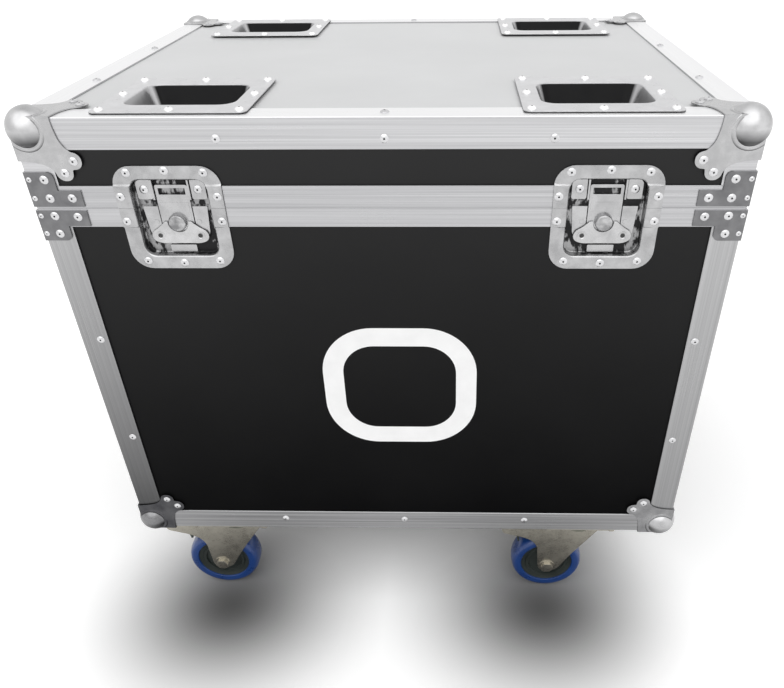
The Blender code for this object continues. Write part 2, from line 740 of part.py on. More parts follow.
def latch_halves():
    """Lid half with its keeper pads and body half with its guide rails."""
    reach = LATCH_WIDTH
    floor = -LATCH_SINK
    lid_half = cut(latch_dish(), box((-reach, -reach, -reach), (reach, GAP / 2, reach)))
    pad_in = HOOK_WIDTH / 2 + MECHANISM_GAP
    for side in (-1, 1):
        edges = sorted((side * pad_in, side * (pad_in + KEEPER_WIDTH)))
        pad = box((edges[0], KEEPER_LIFT, floor - DISH_T / 2),
                  (edges[1], KEEPER_LIFT + KEEPER_HEIGHT, floor + KEEPER_RAISE))
        lid_half = join(lid_half, pad)
    body_half = cut(latch_dish(), box((-reach, -GAP / 2, -reach), (reach, reach, reach)))
    rail_low = -LATCH_WELL_DOWN + RAIL_END_CLEAR
    for side in (-1, 1):
        edges = sorted((side * pad_in, side * (pad_in + RAIL_WIDTH)))
        rail = box((edges[0], rail_low, floor - DISH_T / 2),
                   (edges[1], -RAIL_END_CLEAR / 2, floor + RAIL_HEIGHT))
        body_half = join(body_half, rail)
    return lid_half, body_half


def hook_shape():
    """Sliding hook plate, drawn as (across, up, out)."""
    low = -LATCH_SINK + MECHANISM_GAP
    high = low + HOOK_T
    bottom = -HUB_DROP - HOOK_BELOW_HUB
    plate = prism(rounded(HOOK_WIDTH, HOOK_UP - bottom, HOOK_T, centre=(0.0, (HOOK_UP + bottom) / 2)),
                  low, high)
    slot = box((-HOOK_SLOT_WIDTH / 2, HOOK_SLOT_LOW, low - OVERRUN),
               (HOOK_SLOT_WIDTH / 2, HOOK_SLOT_LOW + HOOK_SLOT_HEIGHT, high + OVERRUN))
    hole = SPINDLE_RADIUS + MECHANISM_GAP
    opening = prism(rounded(2 * hole, 2 * hole + HOOK_TRAVEL, hole, HOLE_STEPS,
                            (0.0, -HUB_DROP - HOOK_TRAVEL / 2)), low - OVERRUN, high + OVERRUN)
    return cut(plate, slot, opening)


def hub_shape():
    """Round latch hub on its spindle, drawn round its own axis as (across, up, out)."""
    low = -LATCH_SINK + MECHANISM_GAP + HOOK_T + GAP
    head = cylinder(HUB_RADIUS, low, low + HUB_HEIGHT, sides=HUB_SIDES)
    rim = [edge for edge in head.edges
           if all(vert.co.z > low + HUB_HEIGHT / 2 for vert in edge.verts)]
    bmesh.ops.bevel(head, geom=rim, offset=HUB_BEVEL, segments=1, profile=0.5, affect="EDGES",
                    material=-1)
    spindle = cylinder(SPINDLE_RADIUS, -LATCH_SINK + GAP, low + HUB_HEIGHT / 2, sides=PIN_SIDES)
    return join(head, spindle)


def wing_middle():
    """Level of the wing's middle plane, out from the case's outer plane."""
    return -LATCH_SINK + MECHANISM_GAP + HOOK_T + WING_CLEAR + WING_T / 2


def wing_shape():
    """Folding butterfly wing, drawn round the hub's axis as (across, up, out) at level zero."""
    arm_out = WING_NOTCH_RADIUS + WING_ARM
    half = [(WING_NOTCH_RADIUS, WING_T / 2), (arm_out, WING_T / 2)]
    half += list(reversed(arc((WING_LOBE_X, -WING_LOBE_DROP), WING_LOBE_RADIUS, *WING_LOBE_ARC,
                              WING_STEPS)))
    half += [(WING_LOBE_X / 2, -WING_BOTTOM_DROP)]
    notch = arc((0.0, 0.0), WING_NOTCH_RADIUS, 180.0, 360.0, 2 * WING_STEPS)
    mirrored = [(-x, y) for x, y in reversed(half)]
    outline = half + mirrored + notch[1:-1]
    plate = prism(outline, -WING_T / 2, WING_T / 2)
    cutters = []
    for side in (-1, 1):
        cutters.append(cylinder(WING_LOBE_HOLE, -OVERRUN, OVERRUN,
                                (side * WING_LOBE_X, -WING_LOBE_DROP), sides=PIN_SIDES))
    plate = cut(plate, *cutters)
    for side in (-1, 1):
        reach = sorted((side * (HUB_RADIUS + GAP), side * (arm_out - GAP)))
        stub = cylinder(WING_PIVOT_RADIUS, reach[0], reach[1], sides=NUT_SIDES, axis="X")
        plate = join(plate, stub)
    return plate


def latches(body, lid, steel, zinc):
    """Two recessed butterfly latches on the front."""
    lid_master, body_master = latch_halves()
    for side, name in ((-1, "left"), (1, "right")):
        x = side * LATCH_X
        shape = move(face_front(lid_master.copy()), x, -HALF_DEPTH, SPLIT_Z)
        add_piece("latch_lid_dish_" + name, shape, steel, lid)
        shape = move(face_front(body_master.copy()), x, -HALF_DEPTH, SPLIT_Z)
        add_piece("latch_body_dish_" + name, shape, steel, body)
        slide = add_empty("latch_slide_" + name, (x, -HALF_DEPTH, SPLIT_Z), body)
        add_piece("latch_hook_" + name, face_front(hook_shape()), zinc, slide)
        hub_axis = add_empty("latch_turn_" + name, (x, -HALF_DEPTH, SPLIT_Z - HUB_DROP), body)
        add_piece("latch_hub_" + name, face_front(hub_shape()), zinc, hub_axis)
        fold = add_empty("latch_fold_" + name, (0.0, -wing_middle(), 0.0), hub_axis)
        add_piece("latch_wing_" + name, face_front(wing_shape()), zinc, fold)
    lid_master.free()
    body_master.free()


def hinge_leaf(up):
    """One hinge leaf drawn as (across, up, out) with the split at zero; up is 1 or -1."""
    rim = LID_RIM_HEIGHT if up > 0 else BODY_RIM_HEIGHT
    centre = (0.0, up * (HINGE_LEAF + GAP) / 2)
    plate = prism(rounded(HINGE_WIDTH, HINGE_LEAF - GAP, HINGE_CORNER, PIECE_STEPS, centre),
                  -ANGLE_T, GAP + HINGE_T)
    edges = sorted((-up * rim, up * (rim + GAP)))
    plate = cut(plate, box((-HINGE_WIDTH, edges[0], -BOARD_IN), (HINGE_WIDTH, edges[1], GAP)))
    return plate


def knuckle(low, high, radius):
    """Cylinder on the hinge's axis, drawn as (across, up, out)."""
    return cylinder(radius, low, high, (0.0, HINGE_AXIS_OUT), sides=KNUCKLE_SIDES, axis="X")


def hinges(body, lid, steel):
    """Two hinges on the back; each pin belongs to the body leaf's knuckles."""
    half = HINGE_WIDTH / 2
    middle = LID_KNUCKLE_LENGTH / 2
    relief = KNUCKLE_RADIUS + KNUCKLE_RELIEF
    for side, name in ((-1, "left"), (1, "right")):
        place = {"x": side * HINGE_X, "y": HALF_DEPTH, "z": SPLIT_Z}
        lower = hinge_leaf(-1)
        lower = cut(lower, knuckle(-middle - GAP, middle + GAP, relief))
        for low, high in ((-half, -middle - GAP), (middle + GAP, half)):
            lower = join(lower, knuckle(low, high, KNUCKLE_RADIUS))
        lower = join(lower, knuckle(-half + HINGE_T, half - HINGE_T, PIN_RADIUS))
        add_piece("hinge_body_leaf_" + name, move(face_back(lower), **place), steel, body)
        upper = hinge_leaf(1)
        for low, high in ((-half - OVERRUN, -middle), (middle, half + OVERRUN)):
            upper = cut(upper, knuckle(low, high, relief))
        upper = join(upper, knuckle(-middle, middle, KNUCKLE_RADIUS))
        upper = cut(upper, knuckle(-middle - OVERRUN, middle + OVERRUN, PIN_RADIUS + PIN_CLEARANCE))
        add_piece("hinge_lid_leaf_" + name, move(face_back(upper), **place), steel, lid)


def handle_dish():
    """Recessed handle dish with the two ears that carry the bail, as (across, up, out)."""
    shape = dish((HANDLE_WIDTH, HANDLE_HEIGHT, HANDLE_CORNER, (0.0, 0.0)),
                 (HANDLE_WELL_WIDTH, HANDLE_WELL_HEIGHT, HANDLE_WELL_CORNER, (0.0, 0.0)),
                 HANDLE_WELL_DEPTH)
    for side in (-1, 1):
        outer = HANDLE_WELL_WIDTH / 2 - EAR_WALL_CLEAR
        edges = sorted((side * outer, side * (outer - EAR_LENGTH)))
        ear = cylinder(EAR_RADIUS, edges[0], edges[1], (BAIL_PIVOT_UP, -BAIL_DEPTH), PIN_SIDES, "X")
        foot = box((edges[0], BAIL_PIVOT_UP - EAR_RADIUS, -HANDLE_WELL_DEPTH - DISH_T / 2),
                   (edges[1], BAIL_PIVOT_UP + EAR_RADIUS, -BAIL_DEPTH))
        shape = join(shape, join(ear, foot))
    pivot = cylinder(BAIL_RADIUS + PIN_CLEARANCE, -HANDLE_WELL_WIDTH / 2 + EAR_WALL_CLEAR / 2,
                     HANDLE_WELL_WIDTH / 2 - EAR_WALL_CLEAR / 2, (BAIL_PIVOT_UP, -BAIL_DEPTH),
                     PIN_SIDES, "X")
    return cut(shape, pivot)


def bail_shape():
    """Handle bail, drawn as (across, up, out) round its pivot axis."""
    stub = HANDLE_WELL_WIDTH / 2 - EAR_WALL_CLEAR
    low = -BAIL_PIVOT_UP - BAIL_GRIP_DOWN
    corner = (BAIL_HALF_WIDTH - BAIL_BEND, low + BAIL_BEND)
    half = [(stub, 0.0), (BAIL_HALF_WIDTH, 0.0)]
    half += list(reversed(arc(corner, BAIL_BEND, -90.0, 0.0, PIECE_STEPS)))
    path = half + [(-x, y) for x, y in reversed(half)]
    bar = tube(path, BAIL_RADIUS, BAIL_SIDES)
    grip = cylinder(GRIP_RADIUS, -GRIP_HALF_LENGTH, GRIP_HALF_LENGTH, (low, 0.0), BAIL_SIDES, "X")
    return join(bar, grip)


def handles(body, steel, rubber):
    """Recessed sprung handle on the left and the right side."""
    master = handle_dish()
    z = BASE_Z + HANDLE_RAISE
    for side, name in ((-1, "left"), (1, "right")):
        x = side * HALF_WIDTH
        shape = move(face_side(master.copy(), side), x=x, z=z)
        add_piece("handle_dish_" + name, shape, steel, body)
        pivot = add_empty("handle_pivot_" + name, (x - side * BAIL_DEPTH, 0.0, z + BAIL_PIVOT_UP), body)
        add_piece("handle_bail_" + name, face_side(bail_shape(), side), rubber, pivot)
    master.free()


def cups(lid, steel):
    """Four stacking cups in the lid's top, which take the wheels of a case above."""
    for side_x, side_y, x, y in cup_places():
        edge = CUP_EDGE_Y - ANGLE_LEG - GAP
        seat = box((-CUP_WIDTH, edge, -BOARD_IN), (CUP_WIDTH, CUP_DEPTH, GAP))
        shape = dish((CUP_WIDTH, CUP_DEPTH, CUP_CORNER, (0.0, 0.0)),
                     (CUP_WELL_WIDTH, CUP_WELL_DEPTH, CUP_WELL_CORNER, (0.0, 0.0)),
                     CUP_SINK, CUP_DRAFT, seat)
        shape = move(flip(shape, y=side_y), x, y, TOP_Z)
        name = "stacking_cup_{}_{}".format("front" if side_y < 0 else "back",
                                           "left" if side_x < 0 else "right")
        add_piece(name, shape, steel, lid)


def caster_plate():
    """Top plate with the race housing and kingpin, drawn round the swivel axis."""
    top = CASTER_HEIGHT
    plate = prism(rounded(PLATE_LENGTH, PLATE_WIDTH, PLATE_CORNER, PIECE_STEPS), top - PLATE_T, top)
    race_low = top - PLATE_T - RACE_HEIGHT
    race = cylinder(RACE_RADIUS, race_low, top - PLATE_T / 2, sides=RACE_SIDES)
    nut_top = CROWN_BOTTOM - RUNNING_GAP
    pin = cylinder(KINGPIN_RADIUS, nut_top - KINGPIN_NUT_HEIGHT / 2, race_low + RACE_HEIGHT / 2,
                   sides=PIN_SIDES)
    nut = cylinder(KINGPIN_NUT_RADIUS, nut_top - KINGPIN_NUT_HEIGHT, nut_top, sides=NUT_SIDES)
    return join(plate, race, pin, nut)


def fork_outline():
    """Side plate of the fork as (x, z) points, tail towards -X."""
    tail = -FORK_TAIL_REACH
    nose = FORK_NOSE_REACH
    axle = (-FORK_OFFSET, WHEEL_RADIUS)
    drop = CROWN_BOTTOM - WHEEL_RADIUS
    boss = AXLE_BOSS_RADIUS
    bottom = arc(axle, boss, *BOSS_ARC, BOSS_STEPS)
    waist_left = (axle[0] - 2 * boss, WHEEL_RADIUS + FORK_WAIST_SHARE * drop)
    tail_low = (tail + boss / 2, CROWN_BOTTOM - FORK_TAIL_SHARE * drop)
    nose_low = (nose - boss / 4, CROWN_BOTTOM - FORK_NOSE_SHARE * drop)
    return [(nose, CROWN_TOP - CROWN_T / 2), (tail + boss, CROWN_TOP - CROWN_T / 2),
            (tail, CROWN_BOTTOM - CROWN_T), tail_low,
            (waist_left[0] - boss / 2, tail_low[1] - CROWN_T), waist_left] + bottom + [nose_low]


def fork_shape(braked):
    """Swivel fork with its axle bolt, drawn round the swivel axis with z from the floor."""
    crown = cylinder(CROWN_RADIUS, CROWN_BOTTOM, CROWN_TOP, sides=RACE_SIDES)
    shape = cut(crown, cylinder(KINGPIN_RADIUS + KINGPIN_CLEARANCE, CROWN_BOTTOM - OVERRUN,
                                CROWN_TOP + OVERRUN, sides=PIN_SIDES))
    for side in (-1, 1):
        edges = sorted((side * FORK_INNER_HALF, side * (FORK_INNER_HALF + FORK_T)))
        plate = prism(fork_outline(), -edges[1], -edges[0])
        plate = turn(plate, Matrix(((1, 0, 0), (0, 0, -1), (0, 1, 0))))
        shape = join(shape, plate)
    outer = FORK_INNER_HALF + FORK_T
    axle = cylinder(AXLE_RADIUS, -outer - AXLE_HEAD_T, outer + AXLE_HEAD_T,
                    (WHEEL_RADIUS, -FORK_OFFSET), PIN_SIDES, "Y")
    shape = join(shape, axle)
    for side in (-1, 1):
        edges = sorted((side * (outer - FORK_T / 2), side * (outer + AXLE_HEAD_T)))
        head = cylinder(AXLE_HEAD_RADIUS, edges[0], edges[1], (WHEEL_RADIUS, -FORK_OFFSET),
                        NUT_SIDES, "Y")
        shape = join(shape, head)
    if braked:
        pin_z = CROWN_BOTTOM - PEDAL_PIVOT_DROP
        pin = cylinder(PEDAL_PIN_RADIUS, -outer, outer, (pin_z, -PEDAL_PIVOT_BACK), PIN_SIDES, "Y")
        shape = join(shape, pin)
    return shape


def wheel_shape():
    """Tyre and hub turned as one, round the Y axis through its own centre."""
    half = WHEEL_WIDTH / 2
    face = HUB_FACE_WIDTH / 2
    bore = AXLE_RADIUS + BORE_CLEARANCE
    tread = WHEEL_RADIUS
    rim = WHEEL_RADIUS - TYRE_DEPTH
    dish_face = half - WHEEL_DISH
    profile = [(bore, -face), (HUB_FACE_RADIUS, -face), (HUB_FACE_RADIUS + WHEEL_DISH / 2, -dish_face),
               (rim - WHEEL_DISH / 2, -dish_face), (rim, -half), (tread - TYRE_ROUND, -half),
               (tread, -half + TYRE_ROUND), (tread, half - TYRE_ROUND), (tread - TYRE_ROUND, half),
               (rim, half), (rim - WHEEL_DISH / 2, dish_face),
               (HUB_FACE_RADIUS + WHEEL_DISH / 2, dish_face), (HUB_FACE_RADIUS, face), (bore, face)]
    return turn(turned(profile, WHEEL_SIDES), Matrix.Rotation(math.radians(90.0), 3, "X"))


def pedal_shape():
    """Brake pedal drawn round its pivot, tail towards -X."""
    reach = PEDAL_REACH - PEDAL_PIVOT_BACK
    inner = PEDAL_PIVOT_BACK - PEDAL_INNER_BACK
    eye = PEDAL_PIN_RADIUS + PIN_CLEARANCE + PEDAL_T
    thick = PEDAL_T
    top = [(inner, eye)] + [(-reach * back, eye - thick * down) for back, down in PEDAL_LINE_SHARES]
    outline = top + [(x, z - thick) for x, z in reversed(top)]
    plate = prism(outline, -PEDAL_HALF_WIDTH, PEDAL_HALF_WIDTH)
    # The tongue's tip stands clear of the tyre, on a line from the axle at the brake's angle
    brake_angle = math.radians(BRAKE_ANGLE)
    brake_radius = WHEEL_RADIUS + BRAKE_CLEARANCE
    tip_x = PEDAL_PIVOT_BACK - FORK_OFFSET + brake_radius * math.cos(brake_angle)
    tip_z = WHEEL_RADIUS + brake_radius * math.sin(brake_angle) - (CROWN_BOTTOM - PEDAL_PIVOT_DROP)
    hooked = [(-eye / 2, 0.0), (-eye / 2, -eye), (tip_x, tip_z * TONGUE_BEND_SHARE),
              (tip_x - thick, tip_z), (tip_x, tip_z), (tip_x + thick, tip_z * TONGUE_BEND_SHARE),
              (eye / 2, -eye), (eye / 2, 0.0)]
    tongue = prism(hooked, -PEDAL_HALF_WIDTH / 2, PEDAL_HALF_WIDTH / 2)
    barrel = cylinder(eye, -PEDAL_HALF_WIDTH, PEDAL_HALF_WIDTH, sides=PIN_SIDES)
    shape = join(plate, barrel, tongue)
    shape = cut(shape, cylinder(PEDAL_PIN_RADIUS + PIN_CLEARANCE, -PEDAL_HALF_WIDTH - OVERRUN,
                                PEDAL_HALF_WIDTH + OVERRUN, sides=PIN_SIDES))
    return turn(shape, Matrix(((1, 0, 0), (0, 0, -1), (0, 1, 0))))


def casters(body, zinc, tyre):
    """Four swivel casters; the front two have a brake pedal."""
    for side_y, depth_name in ((-1, "front"), (1, "back")):
        for side_x, width_name in ((-1, "left"), (1, "right")):
            name = "{}_{}".format(depth_name, width_name)
            braked = side_y < 0
            place = (side_x * CASTER_X, side_y * CASTER_Y, 0.0)
            seat = add_empty("caster_" + name, place, body)
            add_piece("caster_plate_" + name, caster_plate(), zinc, seat)
            add_piece("caster_fork_" + name, fork_shape(braked), zinc, seat)
            axle = add_empty("caster_axle_" + name, (-FORK_OFFSET, 0.0, WHEEL_RADIUS), seat)
            add_piece("caster_wheel_" + name, wheel_shape(), tyre, axle)
            if braked:
                pivot_z = CROWN_BOTTOM - PEDAL_PIVOT_DROP
                pivot = add_empty("brake_pivot_" + name, (-PEDAL_PIVOT_BACK, 0.0, pivot_z), seat)
                add_piece("brake_pedal_" + name, pedal_shape(), zinc, pivot)


def foam(body, soft):
    """Foam bed that the lights lie on."""
    half_x = HALF_WIDTH - BOARD_IN - FOAM_CLEARANCE
    half_y = HALF_DEPTH - BOARD_IN - FOAM_CLEARANCE
    low = BASE_Z + BOARD_IN + GAP
    bed = box((-half_x, -half_y, low), (half_x, half_y, low + FOAM_HEIGHT))
    add_piece("foam_bed", cut(bed, *corner_notches(BASE_Z, -1)), soft, body)


def main():
    """Build the case."""
    for item in list(bpy.data.objects):
        bpy.data.objects.remove(item)
    board = new_material("black_laminate", (0.014, 0.014, 0.015), 0.42, 0.0)
    pale_board = new_material("grey_laminate", (0.62, 0.63, 0.64), 0.4, 0.0)
    aluminium = new_material("aluminium", (0.62, 0.62, 0.63), 0.34, 0.9)
    steel = new_material("plated_steel", (0.56, 0.56, 0.57), 0.28, 0.95)
    zinc = new_material("zinc_plate", (0.52, 0.49, 0.43), 0.32, 0.9)
    blue = new_material("blue_rubber", (0.018, 0.072, 0.235), 0.45, 0.0)
    grip = new_material("black_rubber", (0.02, 0.02, 0.02), 0.6, 0.0)
    soft = new_material("grey_foam", (0.06, 0.06, 0.065), 0.95, 0.0)
    # The hinges stand further out than the ball corners, so the case sits that much forward of centre
    frame = add_empty("case_frame", (0.0, -(HINGE_PROUD - BALL_PROUD) / 2, 0.0))
    lid = add_empty("lid_hinge_axis", (0.0, HALF_DEPTH + HINGE_AXIS_OUT, SPLIT_Z), frame)
    lid_frame = add_empty("lid_frame", (0.0, -HALF_DEPTH - HINGE_AXIS_OUT, -SPLIT_Z), lid)
    body_boards(frame, board)
    body_edging(frame, aluminium)
    lid_boards(lid_frame, board, pale_board)
    lid_edging(lid_frame, aluminium)
    ball_corners(frame, lid_frame, steel)
    latches(frame, lid_frame, steel, zinc)
    hinges(frame, lid_frame, steel)
    handles(frame, steel, grip)
    cups(lid_frame, steel)
    casters(frame, zinc, blue)
    foam(frame, soft)
    bpy.context.view_layer.update()


main()
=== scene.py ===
"""Looks of a lighting flight case on casters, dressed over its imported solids, in metres."""
import logging
import math
from collections.abc import Sequence
from dataclasses import dataclass
from enum import Enum

import bmesh
import bpy
from mathutils import Matrix, Vector


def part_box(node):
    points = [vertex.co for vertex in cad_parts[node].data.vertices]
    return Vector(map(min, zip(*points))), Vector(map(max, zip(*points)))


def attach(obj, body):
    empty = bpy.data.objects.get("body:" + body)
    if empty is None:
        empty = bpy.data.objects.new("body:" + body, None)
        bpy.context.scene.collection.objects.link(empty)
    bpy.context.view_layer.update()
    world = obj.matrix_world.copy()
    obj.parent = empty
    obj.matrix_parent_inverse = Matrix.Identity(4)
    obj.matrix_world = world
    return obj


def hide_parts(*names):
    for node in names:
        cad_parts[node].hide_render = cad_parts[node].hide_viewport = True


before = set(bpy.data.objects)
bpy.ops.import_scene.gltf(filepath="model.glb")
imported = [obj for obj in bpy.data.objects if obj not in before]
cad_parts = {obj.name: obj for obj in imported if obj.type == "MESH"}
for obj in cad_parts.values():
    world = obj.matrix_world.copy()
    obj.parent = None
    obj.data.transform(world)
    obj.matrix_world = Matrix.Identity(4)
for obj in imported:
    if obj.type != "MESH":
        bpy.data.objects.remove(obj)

MERGE = 0.00001
SHARP_EDGE = math.radians(35.0)
# painted highlight on aluminium faces that look up
PAINTED_TOP_HIGHLIGHT = (0.98, 0.98, 0.985)
# painted shade at the foot of the uprights
PAINTED_FOOT_SHADE = (0.01, 0.01, 0.0105)
# painted shade on faces that look down
PAINTED_UNDER_SHADE = (0.03, 0.03, 0.031)
RAYS_SEEN = ("Is Camera Ray", "Is Glossy Ray", "Is Transmission Ray")
LOG = logging.getLogger("flight_case")

Colour = tuple[float, float, float]
Point = tuple[float, float]
Mesh = bmesh.types.BMesh
Socket = bpy.types.NodeSocket


class Face(Enum):
    """Side of the case that a piece lies on, as the rows that turn (across, up, out) into (x, y, z)."""

    FRONT = ((1, 0, 0), (0, 0, -1), (0, 1, 0))
    BACK = ((-1, 0, 0), (0, 0, 1), (0, 1, 0))
    RIGHT = ((0, 0, 1), (1, 0, 0), (0, 1, 0))
    LEFT = ((0, 0, -1), (-1, 0, 0), (0, 1, 0))
    TOP = ((1, 0, 0), (0, 1, 0), (0, 0, 1))

    def turn(self) -> Matrix:
        """Rotation that stands a drawn piece on this side."""
        return Matrix(self.value).to_4x4()

    def at(self, x: float, y: float, z: float) -> Matrix:
        """Rotation and place of a piece on this side."""
        return Matrix.Translation((x, y, z)) @ self.turn()


class Grain(Enum):
    """Way that the lines of an aluminium extrusion run."""

    FRAME = "round the frame"
    UPRIGHT = "up the corner"


class Shader:
    """Node tree of one material, with short calls for the nodes that the finishes share."""

    def __init__(self, name: str) -> None:
        """Start a material.

        Args:
            name: Name of the material.
        """
        self.material = bpy.data.materials.new(name)
        self.material.use_nodes = True
        self.tree = self.material.node_tree
        self.surface = self.tree.nodes["Principled BSDF"]
        self.place = self.tree.nodes.new("ShaderNodeTexCoord").outputs["Object"]

    def feed(self, socket: Socket, value: object) -> None:
        """Set a socket, or link it where the value is another node's output.

        Args:
            socket: Input to set.
            value: Output socket, number or colour.
        """
        if isinstance(value, Socket):
            self.tree.links.new(value, socket)
        else:
            socket.default_value = value

    def put(self, **values: object) -> None:
        """Set the surface's own sockets.

        Args:
            **values: Socket names with underscores for spaces, and their values.
        """
        for name, value in values.items():
            if isinstance(value, tuple) and len(value) == 3:
                value = (*value, 1.0)
            self.feed(self.surface.inputs[name.replace("_", " ")], value)

    def stretched(self, x: float, y: float, z: float) -> Socket:
        """Object coordinates scaled along each axis.

        Args:
            x: Scale along X.
            y: Scale along Y.
            z: Scale along Z.

        Returns:
            Vector output.
        """
        mapping = self.tree.nodes.new("ShaderNodeMapping")
        self.feed(mapping.inputs["Vector"], self.place)
        mapping.inputs["Scale"].default_value = (x, y, z)
        return mapping.outputs["Vector"]

    def noise(self, vector: Socket, scale: float, detail: float = 3.0, roughness: float = 0.55) -> Socket:
        """Noise from 0 to 1.

        Args:
            vector: Where it is read.
            scale: Waves per metre, before the vector's own scale.
            detail: Octaves.
            roughness: Weight of the finer octaves.

        Returns:
            Value output.
        """
        texture = self.tree.nodes.new("ShaderNodeTexNoise")
        self.feed(texture.inputs["Vector"], vector)
        texture.inputs["Scale"].default_value = scale
        texture.inputs["Detail"].default_value = detail
        texture.inputs["Roughness"].default_value = roughness
        return texture.outputs["Fac"]

    def cells(self, vector: Socket, scale: float) -> Socket:
        """Distance to the nearest point of a random set.

        Args:
            vector: Where it is read.
            scale: Cells per metre.

        Returns:
            Distance output.
        """
        texture = self.tree.nodes.new("ShaderNodeTexVoronoi")
        self.feed(texture.inputs["Vector"], vector)
        texture.inputs["Scale"].default_value = scale
        return texture.outputs["Distance"]

    def spread(self, value: Socket, low: float, high: float, to_low: float, to_high: float) -> Socket:
        """Map a span of values to another, clamped.

        Args:
            value: What is mapped.
            low: Value that becomes to_low.
            high: Value that becomes to_high.
            to_low: First result.
            to_high: Last result.

        Returns:
            Result output.
        """
        node = self.tree.nodes.new("ShaderNodeMapRange")
        self.feed(node.inputs["Value"], value)
        for name, setting in (("From Min", low), ("From Max", high), ("To Min", to_low), ("To Max", to_high)):
            node.inputs[name].default_value = setting
        return node.outputs["Result"]

    def calc(self, operation: str, first: object, second: object = 0.0) -> Socket:
        """One step of arithmetic.

        Args:
            operation: Name of the Math node's operation.
            first: First value.
            second: Second value.

        Returns:
            Value output.
        """
        node = self.tree.nodes.new("ShaderNodeMath")
        node.operation = operation
        self.feed(node.inputs[0], first)
        self.feed(node.inputs[1], second)
        return node.outputs["Value"]

    def component(self, vector: Socket, name: str) -> Socket:
        """One part of a vector.

        Args:
            vector: Vector output.
            name: X, Y or Z.

        Returns:
            Value output.
        """
        node = self.tree.nodes.new("ShaderNodeSeparateXYZ")
        self.feed(node.inputs["Vector"], vector)
        return node.outputs[name]

    def axis(self, name: str) -> Socket:
        """X, Y or Z of the object coordinates."""
        return self.component(self.place, name)

    def normal(self, name: str) -> Socket:
        """X, Y or Z of the surface's own normal, from -1 to 1."""
        return self.component(self.tree.nodes.new("ShaderNodeNewGeometry").outputs["Normal"], name)

    def blend(self, share: object, first: object, second: object) -> Socket:
        """Mix two colours.

        Args:
            share: Share of the second colour.
            first: First colour or output.
            second: Second colour or output.

        Returns:
            Colour output.
        """
        node = self.tree.nodes.new("ShaderNodeMix")
        node.data_type = "RGBA"
        self.feed(node.inputs[0], share)
        for socket, value in ((node.inputs[6], first), (node.inputs[7], second)):
            self.feed(socket, (*value, 1.0) if isinstance(value, tuple) else value)
        return node.outputs[2]

    def bump(self, height: Socket, strength: float, distance: float) -> None:
        """Raise the surface by a height.

        Args:
            height: Height output.
            strength: Strength from 0 to 1.
            distance: Height of 1 in metres.
        """
        node = self.tree.nodes.new("ShaderNodeBump")
        self.feed(node.inputs["Height"], height)
        node.inputs["Strength"].default_value = strength
        node.inputs["Distance"].default_value = distance
        self.feed(self.surface.inputs["Normal"], node.outputs["Normal"])


@dataclass(frozen=True)
class Laminate:
    """Board faced with laminate: a satin sheet with a fine grain, dull patches and a few scuffs."""

    name: str
    slot: str
    colour: Colour
    patch: Colour
    scuff: Colour
    roughness: float
    specular: float
    painted_sheen_falloff: float = 0.0
    cloud_scale: float = 7.0
    scuff_scale: float = 34.0
    speck_scale: float = 150.0
    grain_scale: float = 950.0
    grain_depth: float = 0.0003

    def material(self) -> bpy.types.Material:
        """Build the material; its sheen is painted to fade towards the floor by a power, as painted shade for
        light that falls off downwards.
        """
        shader = Shader(self.name)
        up = shader.spread(shader.axis("Z"), CASE.base, CASE.top, 0.0, 1.0)
        # painted shade: the specular level falls from the top of the case towards the floor
        sheen = shader.calc("MULTIPLY", shader.calc("POWER", up, self.painted_sheen_falloff), self.specular)
        cloud = shader.noise(shader.place, self.cloud_scale, 4.0)
        base = shader.blend(shader.spread(cloud, 0.35, 0.7, 0.0, 1.0), self.colour, self.patch)
        marks = shader.noise(shader.stretched(9.0, 9.0, 1.6), self.scuff_scale, 5.0, 0.7)
        scuffs = shader.spread(marks, 0.69, 0.76, 0.0, 0.5)
        specks = shader.spread(shader.cells(shader.place, self.speck_scale), 0.03, 0.06, 0.6, 0.0)
        worn = shader.blend(shader.calc("MAXIMUM", scuffs, specks), base, self.scuff)
        shader.put(Base_Color=worn, Metallic=0.0, Specular_IOR_Level=sheen)
        shader.put(Roughness=shader.spread(cloud, 0.3, 0.75, self.roughness - 0.06, self.roughness + 0.07))
        shader.bump(shader.noise(shader.place, self.grain_scale, 2.0), 0.12, self.grain_depth)
        return shader.material


